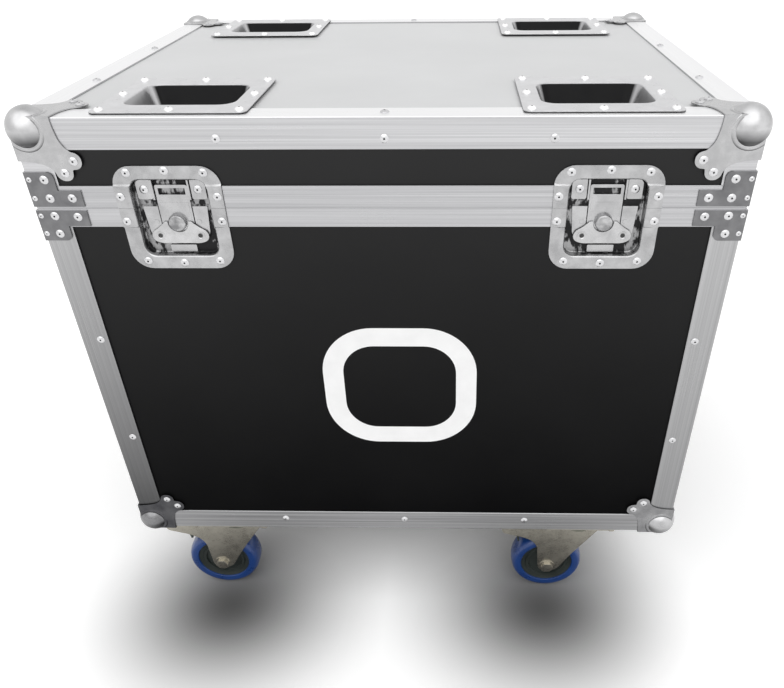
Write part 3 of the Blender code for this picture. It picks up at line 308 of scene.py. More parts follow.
@dataclass(frozen=True)
class Extrusion:
    """Satin anodised aluminium with the fine lines of its extrusion, a painted highlight on faces that look
    up and painted shade towards the foot.
    """

    name: str
    grain: Grain
    colour: Colour
    shade: Colour
    roughness: float = 0.3
    top_highlight_share: float = 0.0
    foot_shade_share: Point = (0.0, 0.0)
    slot: str = "aluminium"
    line_scale: float = 900.0
    line_drift: float = 3.0
    broad_scale: float = 0.22
    cloud_scale: float = 9.0
    line_depth: float = 0.0001

    def foot(self, shader: Shader) -> Socket:
        """Share of painted shade that grows towards the foot, from the first of its two shares on the left to
        the second on the right.

        Args:
            shader: Material that is being built.

        Returns:
            Value output.
        """
        low = shader.spread(shader.axis("Z"), CASE.base, CASE.split, 1.0, 0.0)
        dark = shader.spread(shader.axis("X"), CASE.left, CASE.right, *self.foot_shade_share)
        return shader.calc("MULTIPLY", low, dark)

    def across(self, shader: Shader) -> Socket:
        """Coordinate that grows across the lines.

        Args:
            shader: Material that is being built.

        Returns:
            Value output in metres.
        """
        if self.grain is Grain.UPRIGHT:
            return shader.calc("ADD", shader.axis("X"), shader.axis("Y"))
        side_x = shader.calc("SUBTRACT", CASE.half_width, shader.calc("ABSOLUTE", shader.axis("X")))
        centred = shader.calc("SUBTRACT", shader.axis("Y"), CASE.middle_y)
        side_y = shader.calc("SUBTRACT", CASE.half_depth, shader.calc("ABSOLUTE", centred))
        return shader.calc("ADD", shader.calc("MINIMUM", side_x, side_y), shader.axis("Z"))

    def material(self) -> bpy.types.Material:
        """Build the material."""
        shader = Shader(self.name)
        across = self.across(shader)
        lines = shader.tree.nodes.new("ShaderNodeCombineXYZ")
        for name, value, scale in (("X", across, self.line_scale), ("Y", shader.axis("X"), self.line_drift),
                                   ("Z", shader.axis("Y"), self.line_drift)):
            shader.feed(lines.inputs[name], shader.calc("MULTIPLY", value, scale))
        fine = shader.noise(lines.outputs["Vector"], 1.0, 3.0, 0.6)
        broad = shader.noise(lines.outputs["Vector"], self.broad_scale, 2.0)
        cloud = shader.noise(shader.place, self.cloud_scale, 3.0)
        streak = shader.calc("ADD", shader.calc("MULTIPLY", fine, 0.6), shader.calc("MULTIPLY", broad, 0.4))
        base = shader.blend(shader.spread(streak, 0.36, 0.64, 0.0, 1.0), self.shade, self.colour)
        # painted highlight: faces that look up are lightened towards near white, as if they caught the light
        # from above
        upper = shader.spread(shader.normal("Z"), 0.5, 0.9, 0.0, self.top_highlight_share)
        base = shader.blend(upper, base, PAINTED_TOP_HIGHLIGHT)
        # painted shade: darker towards the foot, most on the left, where the light falls off
        base = shader.blend(self.foot(shader), base, PAINTED_FOOT_SHADE)
        shader.put(Base_Color=base, Metallic=1.0)
        dull = shader.spread(streak, 0.3, 0.7, self.roughness + 0.05, self.roughness - 0.03)
        shader.put(Roughness=shader.calc("ADD", shader.spread(cloud, 0.3, 0.7, -0.05, 0.07), dull))
        shader.bump(streak, 0.3, self.line_depth)
        return shader.material


@dataclass(frozen=True)
class Plate:
    """Pressed and plated steel, with a faint mottle and hair lines, painted shade inside a well and painted
    shade on faces that look down.
    """

    name: str
    slot: str
    colour: Colour
    shade: Colour
    roughness: float
    # colour of the painted shade inside a well, and where it runs
    well: Colour | None = None
    well_shade_axis: str = "Z"
    well_shade_from: float = 0.0
    well_shade_to: float = 0.0
    well_shade_mottle: float = 0.0
    lit_ends: bool = False
    under_shade_share: float = 0.0
    contrast: float = 1.0
    mottle_scale: float = 60.0
    hair_scale: float = 260.0
    hair_depth: float = 0.00008
    stain_scale: float = 75.0

    def material(self) -> bpy.types.Material:
        """Build the material."""
        shader = Shader(self.name)
        mottle = shader.noise(shader.place, self.mottle_scale, 4.0, 0.6)
        hair = shader.noise(shader.stretched(1.0, 1.0, 14.0), self.hair_scale, 3.0, 0.7)
        tone = shader.spread(mottle, 0.32, 0.68, 0.5 - self.contrast / 2, 0.5 + self.contrast / 2)
        base = shader.blend(tone, self.shade, self.colour)
        dull = shader.spread(mottle, 0.3, 0.7, self.roughness - 0.05, self.roughness + 0.06)
        rough = shader.calc("ADD", dull, shader.spread(hair, 0.35, 0.65, -0.03, 0.05))
        # painted shade: faces that look down, such as the lower side of a ball, are darkened
        if self.under_shade_share:
            low = shader.spread(shader.normal("Z"), 0.05, -0.5, 0.0, self.under_shade_share)
            base = shader.blend(low, base, PAINTED_UNDER_SHADE)
        # painted shade in the well: darker and less reflective towards its floor
        if self.well is not None:
            depth = self.depth(shader)
            base = shader.blend(depth, base, self.well)
            shader.put(Metallic=shader.spread(depth, 0.0, 1.0, 1.0, 0.1),
                       Specular_IOR_Level=shader.spread(depth, 0.0, 1.0, 0.5, 0.12))
        else:
            shader.put(Metallic=1.0)
        shader.put(Base_Color=base, Roughness=rough)
        shader.bump(hair, 0.12, self.hair_depth)
        return shader.material

    def depth(self, shader: Shader) -> Socket:
        """Share of the painted shade in the well.

        Args:
            shader: Material that is being built.

        Returns:
            Value output.
        """
        depth = shader.spread(shader.axis(self.well_shade_axis), self.well_shade_from, self.well_shade_to, 0.0, 1.0)
        # walls that face along X keep most of their light
        if self.lit_ends:
            facing = shader.calc("ABSOLUTE", shader.normal("X"))
            depth = shader.calc("MULTIPLY", depth, shader.spread(facing, 0.5, 0.7, 1.0, 0.25))
        # pale spots break up the painted shade
        if self.well_shade_mottle:
            marks = shader.noise(shader.stretched(1.6, 1.0, 0.8), self.stain_scale, 3.0, 0.65)
            pale = shader.spread(marks, 0.50, 0.58, 1.0, 1.0 - self.well_shade_mottle)
            depth = shader.calc("MULTIPLY", depth, pale)
        return depth


@dataclass(frozen=True)
class Moulded:
    """Moulded plastic, rubber or foam, with a fine texture."""

    name: str
    slot: str
    colour: Colour
    shade: Colour
    roughness: float
    grain: float = 700.0
    relief: float = 0.0002
    coat: float = 0.0
    cloud_scale: float = 40.0

    def material(self) -> bpy.types.Material:
        """Build the material."""
        shader = Shader(self.name)
        cloud = shader.noise(shader.place, self.cloud_scale, 4.0)
        base = shader.blend(shader.spread(cloud, 0.3, 0.7, 0.0, 1.0), self.colour, self.shade)
        shader.put(Base_Color=base, Metallic=0.0, Coat_Weight=self.coat)
        shader.put(Roughness=shader.spread(cloud, 0.3, 0.7, self.roughness - 0.05, self.roughness + 0.06))
        shader.bump(shader.noise(shader.place, self.grain, 3.0), 0.25, self.relief)
        return shader.material


@dataclass(frozen=True)
class CaseBox:
    """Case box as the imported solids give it."""

    left: float
    right: float
    front: float
    back: float
    base: float
    top: float
    split: float
    gap: float = 0.0003

    @classmethod
    def from_frame(cls) -> "CaseBox":
        """Read the box from the edging nodes."""
        low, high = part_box("bottom_edging")
        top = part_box("lid_edging")[1].z
        return cls(low.x, high.x, low.y, high.y, low.z, top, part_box("lid_rim")[0].z)

    @property
    def half_width(self) -> float:
        """Half of the width."""
        return (self.right - self.left) / 2

    @property
    def half_depth(self) -> float:
        """Half of the depth."""
        return (self.back - self.front) / 2

    @property
    def middle_y(self) -> float:
        """Middle of the depth."""
        return (self.back + self.front) / 2


CASE = CaseBox.from_frame()
CORNERS = tuple((end, side) for end in ("front", "back") for side in ("left", "right"))
SIDES = (("left", -1, Face.LEFT, CASE.left), ("right", 1, Face.RIGHT, CASE.right))
ALONG_X = Matrix.Rotation(math.pi / 2, 4, "Y")
ALONG_Y = Matrix.Rotation(math.pi / 2, 4, "X")
STANDING = Matrix(((1, 0, 0, 0), (0, 0, -1, 0), (0, 1, 0, 0), (0, 0, 0, 1)))


def middle(node: str) -> tuple[float, ...]:
    """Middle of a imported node's box."""
    return tuple((low + high) / 2 for low, high in zip(*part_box(node)))


Finish = Laminate | Extrusion | Plate | Moulded


class Workshop:
    """Makes the finished pieces and keeps one material for each finish."""

    def __init__(self) -> None:
        """Start with no materials."""
        self.materials: dict[str, bpy.types.Material] = {}

    def coat(self, finish: Finish) -> bpy.types.Material:
        """Material of a finish, built once.

        Args:
            finish: Laminate, extrusion, plate or moulded material.

        Returns:
            The material.
        """
        if finish.name not in self.materials:
            self.materials[finish.name] = finish.material()
        return self.materials[finish.name]

    def dress(self, node: str, finish: Finish) -> None:
        """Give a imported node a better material.

        Args:
            node: Name of the node.
            finish: Its finish.
        """
        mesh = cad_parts[node].data
        mesh.materials.clear()
        mesh.materials.append(self.coat(finish))
        LOG.info("dressed %s in %s", node, finish.name)

    def piece(self, name: str, shape: Mesh, finishes: list[Finish], body: str,
              stands_for: tuple[str, ...] = (), smooth: float = 38.0) -> bpy.types.Object:
        """Turn a bmesh into a finished piece that rides on a body.

        Args:
            name: Name of the piece.
            shape: Its mesh, freed here.
            finishes: One finish for each material index.
            body: Body that it rides on.
            stands_for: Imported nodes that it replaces.
            smooth: Angle in degrees above which an edge stays sharp.

        Returns:
            The object.
        """
        mesh = bpy.data.meshes.new(name)
        shape.to_mesh(mesh)
        shape.free()
        for finish in finishes:
            mesh.materials.append(self.coat(finish))
        mesh.shade_smooth()
        mesh.set_sharp_from_angle(angle=math.radians(smooth))
        made = bpy.data.objects.new(name, mesh)
        bpy.context.scene.collection.objects.link(made)
        made.modifiers.new("normals", "WEIGHTED_NORMAL").keep_sharp = True
        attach(made, body)
        if stands_for:
            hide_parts(*stands_for)
        LOG.info("made %s on %s, %d faces", name, body, len(mesh.polygons))
        return made

    def sheet(self, made: bpy.types.Object, thickness: float) -> None:
        """Give a surface the thickness of its sheet, behind its face.

        Args:
            made: Piece made as a surface.
            thickness: Thickness in metres.
        """
        wall = made.modifiers.new("sheet", "SOLIDIFY")
        wall.thickness = thickness
        wall.offset = -1.0
        wall.use_even_offset = True
        made.modifiers.move(1, 0)


def box_points(left: float, low: float, right: float, high: float) -> tuple[Point, ...]:
    """Corners of a rectangle, anticlockwise."""
    return (left, low), (right, low), (right, high), (left, high)


def polygon(points: Sequence[Point], rounds: Sequence[float], segments: int = 6) -> Mesh:
    """Flat face from a few corners, each rounded by its own amount.

    Args:
        points: Corners as (across, up), anticlockwise.
        rounds: How far each corner's rounding reaches along its sides.
        segments: Steps in each rounding.

    Returns:
        Mesh with one face.
    """
    shape = bmesh.new()
    corners = [shape.verts.new((x, y, 0.0)) for x, y in points]
    shape.faces.new(corners)
    for corner, reach in zip(corners, rounds):
        if reach > 0.0:
            bmesh.ops.bevel(shape, geom=[corner], offset=reach, segments=segments, profile=0.5,
                            affect="VERTICES", material=-1)
    return shape


def rounded_face(width: float, height: float, corner: float, segments: int = 6,
                 centre: Point = (0.0, 0.0)) -> Mesh:
    """Rounded rectangle as one face.

    Args:
        width: Width.
        height: Height.
        corner: Corner radius.
        segments: Steps in each corner.
        centre: Where its middle lies.

    Returns:
        Mesh with one face.
    """
    x, y = width / 2, height / 2
    points = box_points(centre[0] - x, centre[1] - y, centre[0] + x, centre[1] + y)
    return polygon(points, [corner] * 4, segments)


def inset(shape: Mesh, width: float) -> None:
    """Run a border of some width inside the outline of a lone face."""
    bmesh.ops.inset_region(shape, faces=shape.faces, thickness=width, use_even_offset=True, use_boundary=True)


def thicken(shape: Mesh, low: float, high: float) -> Mesh:
    """Extrude a flat face between two levels.

    Args:
        shape: Mesh that lies at level zero.
        low: Lower level.
        high: Upper level.

    Returns:
        The same mesh, closed.
    """
    bmesh.ops.translate(shape, vec=(0.0, 0.0, low), verts=shape.verts)
    grown = bmesh.ops.extrude_face_region(shape, geom=list(shape.faces))
    raised = [item for item in grown["geom"] if isinstance(item, bmesh.types.BMVert)]
    bmesh.ops.translate(shape, vec=(0.0, 0.0, high - low), verts=raised)
    bmesh.ops.recalc_face_normals(shape, faces=shape.faces)
    return shape


def round_edges(shape: Mesh, edges: list[bmesh.types.BMEdge], width: float, segments: int,
                clamp: bool = True) -> None:
    """Round some edges of a mesh; with clamp, the width gives way where edges lie close."""
    bmesh.ops.bevel(shape, geom=edges, offset=width, segments=segments, profile=0.5, affect="EDGES",
                    material=-1, clamp_overlap=clamp)


def cut(shape: Mesh, point: tuple[float, ...], normal: tuple[int, ...], **clear: bool) -> None:
    """Cut a mesh by a plane, and with clear_outer or clear_inner drop what lies on that side."""
    bmesh.ops.bisect_plane(shape, geom=shape.verts[:] + shape.edges[:] + shape.faces[:], dist=MERGE,
                           plane_co=point, plane_no=normal, **clear)


def mark(shape: Mesh) -> Mesh:
    """Give a whole mesh the piece's second material.

    Args:
        shape: Mesh.

    Returns:
        The same mesh.
    """
    for face in shape.faces:
        face.material_index = 1
    return shape


def soften(shape: Mesh, width: float, segments: int = 2) -> Mesh:
    """Round the sharp edges of a solid.

    Args:
        shape: Closed mesh.
        width: Width of the rounding.
        segments: Steps in the rounding.

    Returns:
        The same mesh.
    """
    edges = [edge for edge in shape.edges if edge.is_manifold and edge.calc_face_angle() > SHARP_EDGE]
    round_edges(shape, edges, width, segments)
    return shape


def spun(profile: list[Point], steps: int = 32) -> Mesh:
    """Solid of revolution about the out axis.

    Args:
        profile: Points as (radius, out); it closes on the axis or on itself.
        steps: Steps round the axis.

    Returns:
        Closed mesh.
    """
    shape = bmesh.new()
    verts = [shape.verts.new((radius, 0.0, out)) for radius, out in profile]
    edges = [shape.edges.new(pair) for pair in zip(verts, verts[1:])]
    if profile[0][0] > 0.0:
        edges.append(shape.edges.new((verts[-1], verts[0])))
    bmesh.ops.spin(shape, geom=verts + edges, cent=(0.0, 0.0, 0.0), axis=(0.0, 0.0, 1.0),
                   angle=2 * math.pi, steps=steps, use_merge=True)
    bmesh.ops.remove_doubles(shape, verts=shape.verts, dist=MERGE)
    bmesh.ops.recalc_face_normals(shape, faces=shape.faces)
    return shape


def rod(radius: float, low: float, high: float, steps: int, bore: float = 0.0) -> Mesh:
    """Rod between two levels of the out axis, or a tube where it has a bore."""
    return spun([(bore, low), (radius, low), (radius, high), (bore, high)], steps)


@dataclass(frozen=True)
class Blank:
    """Plate cut to a flat outline, with a rounding for each of its corners."""

    points: tuple[Point, ...]
    rounds: tuple[float, ...]
    thickness: float
    steps: int = 4

    def plate(self, low: float, soft: float = 0.0003, soft_steps: int = 2) -> Mesh:
        """Draw the plate on a level, with soft edges."""
        flat = polygon(self.points, self.rounds, self.steps)
        return soften(thicken(flat, low, low + self.thickness), soft, soft_steps)


def put(shape: Mesh, matrix: Matrix) -> Mesh:
    """Move a mesh to its place.

    Args:
        shape: Mesh drawn at the origin.
        matrix: Rotation and place.

    Returns:
        The same mesh, with its faces outwards.
    """
    bmesh.ops.transform(shape, matrix=matrix, verts=shape.verts)
    if matrix.determinant() < 0.0:
        bmesh.ops.reverse_faces(shape, faces=shape.faces)
    return shape


def gather(shapes: list[Mesh]) -> Mesh:
    """Put several meshes into one.

    Args:
        shapes: Meshes, freed here.

    Returns:
        One mesh that holds them all.
    """
    result = bmesh.new()
    for shape in shapes:
        mesh = bpy.data.meshes.new("part")
        shape.to_mesh(mesh)
        shape.free()
        result.from_mesh(mesh)
        bpy.data.meshes.remove(mesh)
    return result


def node_copy(node: str) -> Mesh:
    """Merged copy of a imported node's mesh, with flat regions joined.

    Args:
        node: Name of the node.

    Returns:
        Its mesh.
    """
    shape = bmesh.new()
    shape.from_mesh(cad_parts[node].data)
    bmesh.ops.remove_doubles(shape, verts=shape.verts, dist=MERGE)
    bmesh.ops.dissolve_limit(shape, angle_limit=math.radians(1.0), verts=shape.verts, edges=shape.edges)
    return shape


def grey(level: float) -> Colour:
    """Grey with the faint blue of bare metal."""
    return level, level, level + 0.005


BLACK_BOARD = Laminate("black_laminate", "black_laminate", (0.0042, 0.0042, 0.0045), (0.0062, 0.0062, 0.0065),
                       (0.02, 0.02, 0.021), 0.42, 0.34, 1.6)
GREY_BOARD = Laminate("grey_laminate", "grey_laminate", (0.62, 0.625, 0.63), (0.68, 0.685, 0.69),
                      (0.72, 0.72, 0.72), 0.4, 0.4)
# Lit and shaded copies of one aluminium: the lid's is lighter, as painted light, and the bottom edging's
# darker, as painted shade; the uprights carry painted shade at their foot.
LID_LIT_METAL = Extrusion("lid_lit_aluminium", Grain.FRAME, (0.60, 0.60, 0.61), (0.44, 0.44, 0.45), top_highlight_share=0.75)
FRAME_METAL = Extrusion("frame_aluminium", Grain.FRAME, (0.52, 0.52, 0.53), (0.38, 0.38, 0.39))
SHADED_FRAME_METAL = Extrusion("shaded_frame_aluminium", Grain.FRAME, grey(0.39), grey(0.17))
UPRIGHT_METAL = Extrusion("upright_aluminium", Grain.UPRIGHT, grey(0.48), grey(0.35),
                          foot_shade_share=(0.92, 0.38))
DISH_STEEL = Plate("dish_steel", "plated_steel", grey(0.50), grey(0.38), 0.24)
# painted shade deep in the latch's recess
LATCH_STEEL = Plate("latch_steel", "plated_steel", grey(0.48), grey(0.34), 0.28,
                    (0.02, 0.02, 0.021), "Y", CASE.front + 0.0012, CASE.front + 0.0050, 0.75)
HOOK_STEEL = Plate("hook_steel", "zinc_plate", grey(0.50), grey(0.38), 0.24)
WING_STEEL = Plate("wing_steel", "zinc_plate", grey(0.56), grey(0.40), 0.24)
HUB_STEEL = Plate("hub_steel", "zinc_plate", grey(0.56), grey(0.22), 0.32, contrast=1.6)
CORNER_STEEL = Plate("corner_steel", "plated_steel", grey(0.52), grey(0.40), 0.22,
                     under_shade_share=0.85)
# Shaded copies for the lower corners: painted shade, darker on the left than on the right.
SHADED_CORNER_STEEL = Plate("shaded_corner_steel", "plated_steel", grey(0.10), grey(0.05), 0.18,
                         under_shade_share=0.8)
HALF_SHADED_CORNER_STEEL = Plate("half_shaded_corner_steel", "plated_steel", grey(0.32), grey(0.20), 0.22,
                          under_shade_share=0.8)
BALL_STEEL = Plate("ball_steel", "plated_steel", grey(0.56), grey(0.42), 0.34,
                   under_shade_share=0.85)
SHADED_BALL_STEEL = Plate("shaded_ball_steel", "plated_steel", grey(0.26), grey(0.16), 0.26,
                       under_shade_share=0.8)
HALF_SHADED_BALL_STEEL = Plate("half_shaded_ball_steel", "plated_steel", grey(0.54), grey(0.38), 0.30,
                        under_shade_share=0.8)
BRACE_STEEL = Plate("brace_steel", "plated_steel", grey(0.22), grey(0.15), 0.36)
RIVET_STEEL = Plate("rivet_steel", "plated_steel", (0.68, 0.68, 0.69), (0.56, 0.56, 0.57), 0.26)
# lit copy of the rivet steel, a painted highlight for the rivets on the top
LIT_RIVET_STEEL = Plate("lit_rivet_steel", "plated_steel", (0.97, 0.97, 0.97), (0.90, 0.90, 0.90), 0.35)
# painted shade for the pits of rivets and the holes of eyelets
PIT_SHADE = Plate("painted_pit_shade", "plated_steel", (0.09, 0.09, 0.09), (0.05, 0.05, 0.05), 0.5)
# painted shade inside the cup's well, its end walls left lighter
CUP_STEEL = Plate("cup_steel", "plated_steel", (0.68, 0.68, 0.69), (0.58, 0.58, 0.59), 0.32,
                  (0.006, 0.006, 0.0065), "Z", CASE.top + 0.0013, CASE.top + 0.0002, lit_ends=True)
ZINC = Plate("zinc_plate", "zinc_plate", (0.47, 0.445, 0.385), (0.38, 0.36, 0.31), 0.27, contrast=0.8)
GREEN_ZINC = Plate("passivated_zinc", "zinc_plate", (0.20, 0.22, 0.18), (0.11, 0.13, 0.10), 0.24)
BLUE_TYRE = Moulded("blue_tyre", "blue_rubber", (0.006, 0.036, 0.165), (0.010, 0.052, 0.215), 0.3,
                    500.0, 0.0001, 0.2)
WHEEL_CORE = Moulded("wheel_core", "blue_rubber", (0.016, 0.021, 0.019), (0.026, 0.033, 0.030), 0.35)
GRIP_RUBBER = Moulded("grip_rubber", "black_rubber", (0.014, 0.014, 0.014), (0.02, 0.02, 0.02), 0.55)
FOAM = Moulded("grey_foam", "grey_foam", (0.05, 0.05, 0.054), grey(0.075), 0.92, 420.0, 0.0012)
PAINT = Moulded("white_paint", "black_laminate", (0.86, 0.86, 0.86), (0.92, 0.92, 0.92), 0.5, 900.0, 0.00008)


@dataclass
class Rivets:
    """Pop rivets: low domes with the stem's pit in the middle, coloured dark as painted shade in the hole."""

    radius: float = 0.0043
    height: float = 0.0018
    pit: float = 0.0010
    crown_share: float = 0.7
    crown_height: float = 0.86
    steps: int = 16

    def mesh(self) -> Mesh:
        """Draw one rivet, standing out of level zero.

        Returns:
            Its mesh, with material 1 in the pit.
        """
        shoulder, sunk = self.height / 3, -self.height / 4
        crown = (self.radius * self.crown_share, self.height * self.crown_height)
        profile = [(0.0, shoulder), (self.pit, shoulder), (self.pit, self.height), crown,
                   (self.radius, shoulder), (self.radius, sunk), (0.0, sunk)]
        shape = spun(profile, self.steps)
        # painted shade: the pit's faces take the dark second material
        for face in shape.faces:
            centre = face.calc_center_median()
            if math.hypot(centre.x, centre.y) < self.pit * 1.02 and centre.z > 0.0:
                face.material_index = 1
        return shape

    def group(self, shop: Workshop, name: str, body: str, places: list[Matrix],
              steel: Plate = RIVET_STEEL) -> bpy.types.Object:
        """Make a group of rivets that share a body.

        Args:
            shop: Where the piece is made.
            name: Name of the group.
            body: Body that it rides on.
            places: Place of each rivet.
            steel: Finish of the domes.

        Returns:
            The object.
        """
        master = self.mesh()
        shapes = [put(master.copy(), place) for place in places]
        master.free()
        return shop.piece(name, gather(shapes), [steel, PIT_SHADE], body, smooth=50.0)


@dataclass
class Boards:
    """Laminated boards, the foam bed and the plain painted frame on the front."""

    frame_width: float = 0.176
    frame_height: float = 0.162
    frame_corner: float = 0.060
    frame_line: float = 0.0235
    frame_z_share: float = 0.429
    frame_x: float = 0.003
    film: float = 0.00012

    def build(self, shop: Workshop) -> None:
        """Dress the boards and paint the frame.

        Args:
            shop: Where the pieces are made.
        """
        for node in ("body_front_panel", "body_back_panel", "body_left_panel", "body_right_panel",
                     "body_bottom_panel", "lid_wall_panels"):
            shop.dress(node, BLACK_BOARD)
        shop.dress("lid_top_panel", GREY_BOARD)
        shop.dress("foam_bed", FOAM)
        self.paint(shop)

    def paint(self, shop: Workshop) -> None:
        """Paint a plain rounded frame.

        Args:
            shop: Where the piece is made.
        """
        outer = rounded_face(self.frame_width, self.frame_height, self.frame_corner, 16)
        inset(outer, self.frame_line)
        inner = max(outer.faces, key=lambda face: len(face.verts))
        bmesh.ops.delete(outer, geom=[inner], context="FACES")
        up = CASE.base + (CASE.top - CASE.base) * self.frame_z_share
        where = Face.FRONT.at(self.frame_x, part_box("body_front_panel")[0].y, up)
        shop.piece("painted_frame", put(thicken(outer, -self.film, self.film), where), [PAINT], "case")


@dataclass
class Edging:
    """Aluminium edging, tongue and groove rims and their riveted braces."""

    round: float = 0.0013
    brace_round: float = 0.0060
    brace_reach: float = 0.030
    leg: float = 0.030
    side_rivets: tuple[float, ...] = (-0.158, 0.0, 0.158)
    depth_rivets: tuple[float, ...] = (-0.13, 0.05)
    upright_rivets: tuple[float, ...] = (0.157, 0.298)
    upright_rivet_in: float = 0.0215
    top_side_rivet_in: float = 0.0216
    top_rivet_down: float = 0.020
    bottom_rivet_up: float = 0.018
    face_rivet_in: float = 0.016

    def build(self, shop: Workshop) -> None:
        """Round the edging, and rivet it.

        Args:
            shop: Where the pieces are made.
        """
        self.round_frame(shop, "bottom_edging", "case", SHADED_FRAME_METAL)
        self.round_frame(shop, "lid_edging", "lid", LID_LIT_METAL)
        self.round_frame(shop, "body_rim", "case", FRAME_METAL)
        self.round_frame(shop, "lid_rim", "lid", FRAME_METAL)
        for end, side in CORNERS:
            self.round_frame(shop, "upright_{}_{}".format(end, side), "case", UPRIGHT_METAL)
        self.rivet(shop)

    def round_frame(self, shop: Workshop, node: str, body: str, finish: Extrusion) -> None:
        """Replace a node by a copy with rounded outer edges and steel braces.

        Args:
            shop: Where the piece is made.
            node: Name of the node.
            body: Body that it rides on.
            finish: Finish of the extrusion.
        """
        shape = node_copy(node)
        round_edges(shape, [edge for edge in shape.edges if self.on_brace_tip(edge)], self.brace_round, 6)
        round_edges(shape, [edge for edge in shape.edges if self.on_outer_edge(edge)], self.round, 4)
        for face in shape.faces:
            if max(self.past_box(face.calc_center_median())) > CASE.gap / 2:
                face.material_index = 1
        shop.piece(node + "_rounded", shape, [finish, BRACE_STEEL], body, (node,), 30.0)

    def past_box(self, point: Vector) -> Point:
        """How far a point lies outside the box's sides and its ends, negative inside."""
        return abs(point.x) - CASE.half_width, abs(point.y - CASE.middle_y) - CASE.half_depth

    def on_outer_edge(self, edge: bmesh.types.BMEdge) -> bool:
        """Whether an edge lies on one of the box's own edges, or on a brace's corner.

        Args:
            edge: Edge of the frame.

        Returns:
            True where it is rounded.
        """
        for vert in edge.verts:
            outside = sum(past > -CASE.gap / 2 for past in self.past_box(vert.co))
            on_level = vert.co.z < CASE.base + MERGE or vert.co.z > CASE.top - MERGE
            if outside + on_level < 2:
                return False
        return edge.is_manifold and edge.calc_face_angle() > math.radians(60.0)

    def on_brace_tip(self, edge: bmesh.types.BMEdge) -> bool:
        """Whether an edge is the outer corner of a brace's upright arm.

        Args:
            edge: Edge of the frame.

        Returns:
            True where it is rounded.
        """
        first, second = (vert.co for vert in edge.verts)
        along = second - first
        past = [self.past_box(point) for point in (first, second)]
        proud = max(map(max, past)) > CASE.gap
        corner = min(map(min, past)) > -CASE.gap
        level = abs(along.z) < MERGE and along.length < self.leg / 4
        return level and proud and not corner and abs(first.z - CASE.split) > self.brace_reach

    def rivet(self, shop: Workshop) -> None:
        """Rivet the edging to the boards.

        Args:
            shop: Where the pieces are made.
        """
        rivets = Rivets()
        lid: list[Matrix] = []
        body: list[Matrix] = []
        lid_z = CASE.top - self.top_rivet_down
        body_z = CASE.base + self.bottom_rivet_up
        for y in (CASE.front + self.face_rivet_in, CASE.back - self.face_rivet_in):
            lid.append(Face.TOP.at(self.side_rivets[1], y, CASE.top))
        for x in self.side_rivets:
            lid += [Face.FRONT.at(x, CASE.front, lid_z), Face.BACK.at(x, CASE.back, lid_z)]
            body += [Face.FRONT.at(x, CASE.front, body_z), Face.BACK.at(x, CASE.back, body_z)]
        for y in (CASE.middle_y + depth for depth in self.depth_rivets):
            for _, side, face, x in SIDES:
                lid += [face.at(x, y, lid_z), Face.TOP.at(x - side * self.top_side_rivet_in, y, CASE.top)]
                body.append(face.at(x, y, body_z))
        for z in (CASE.base + up for up in self.upright_rivets):
            for _, side, face, x in SIDES:
                inner = x - side * self.upright_rivet_in
                body += [Face.FRONT.at(inner, CASE.front, z), Face.BACK.at(inner, CASE.back, z),
                         face.at(x, CASE.front + self.upright_rivet_in, z),
                         face.at(x, CASE.back - self.upright_rivet_in, z)]
        rivets.group(shop, "rivets_lid_edging", "lid", lid)
        rivets.group(shop, "rivets_body_edging", "case", body)


@dataclass
class Braces:
    """Rivets of the braces that tie each rim's corners."""

    proud: float = 0.0015
    lid_places: tuple[Point, ...] = ((0.018, 0.0293), (0.018, 0.0105), (0.040, 0.0106))
    body_places: tuple[Point, ...] = ((0.017, -0.0077), (0.040, -0.0086), (0.0165, -0.0265))
    edge_in: float = 0.0030
    edge_size: float = 0.60

    def build(self, shop: Workshop) -> None:
        """Rivet the braces.

        Args:
            shop: Where the pieces are made.
        """
        for body, places in (("lid", self.lid_places), ("case", self.body_places)):
            spots: list[Matrix] = []
            small = Matrix.Scale(self.edge_size, 4)
            for far, up in places:
                z = CASE.split + up
                for _, side, face, x in SIDES:
                    if far < self.lid_places[-1][0]:
                        edge = x - side * self.edge_in
                        spots += [Face.FRONT.at(edge, CASE.front - self.proud, z) @ small,
                                  Face.BACK.at(edge, CASE.back + self.proud, z) @ small]
                    along = x - side * far
                    spots += [Face.FRONT.at(along, CASE.front - self.proud, z),
                              Face.BACK.at(along, CASE.back + self.proud, z),
                              face.at(x + side * self.proud, CASE.front + far, z),
                              face.at(x + side * self.proud, CASE.back - far, z)]
            Rivets().group(shop, "rivets_braces_" + body, body, spots)


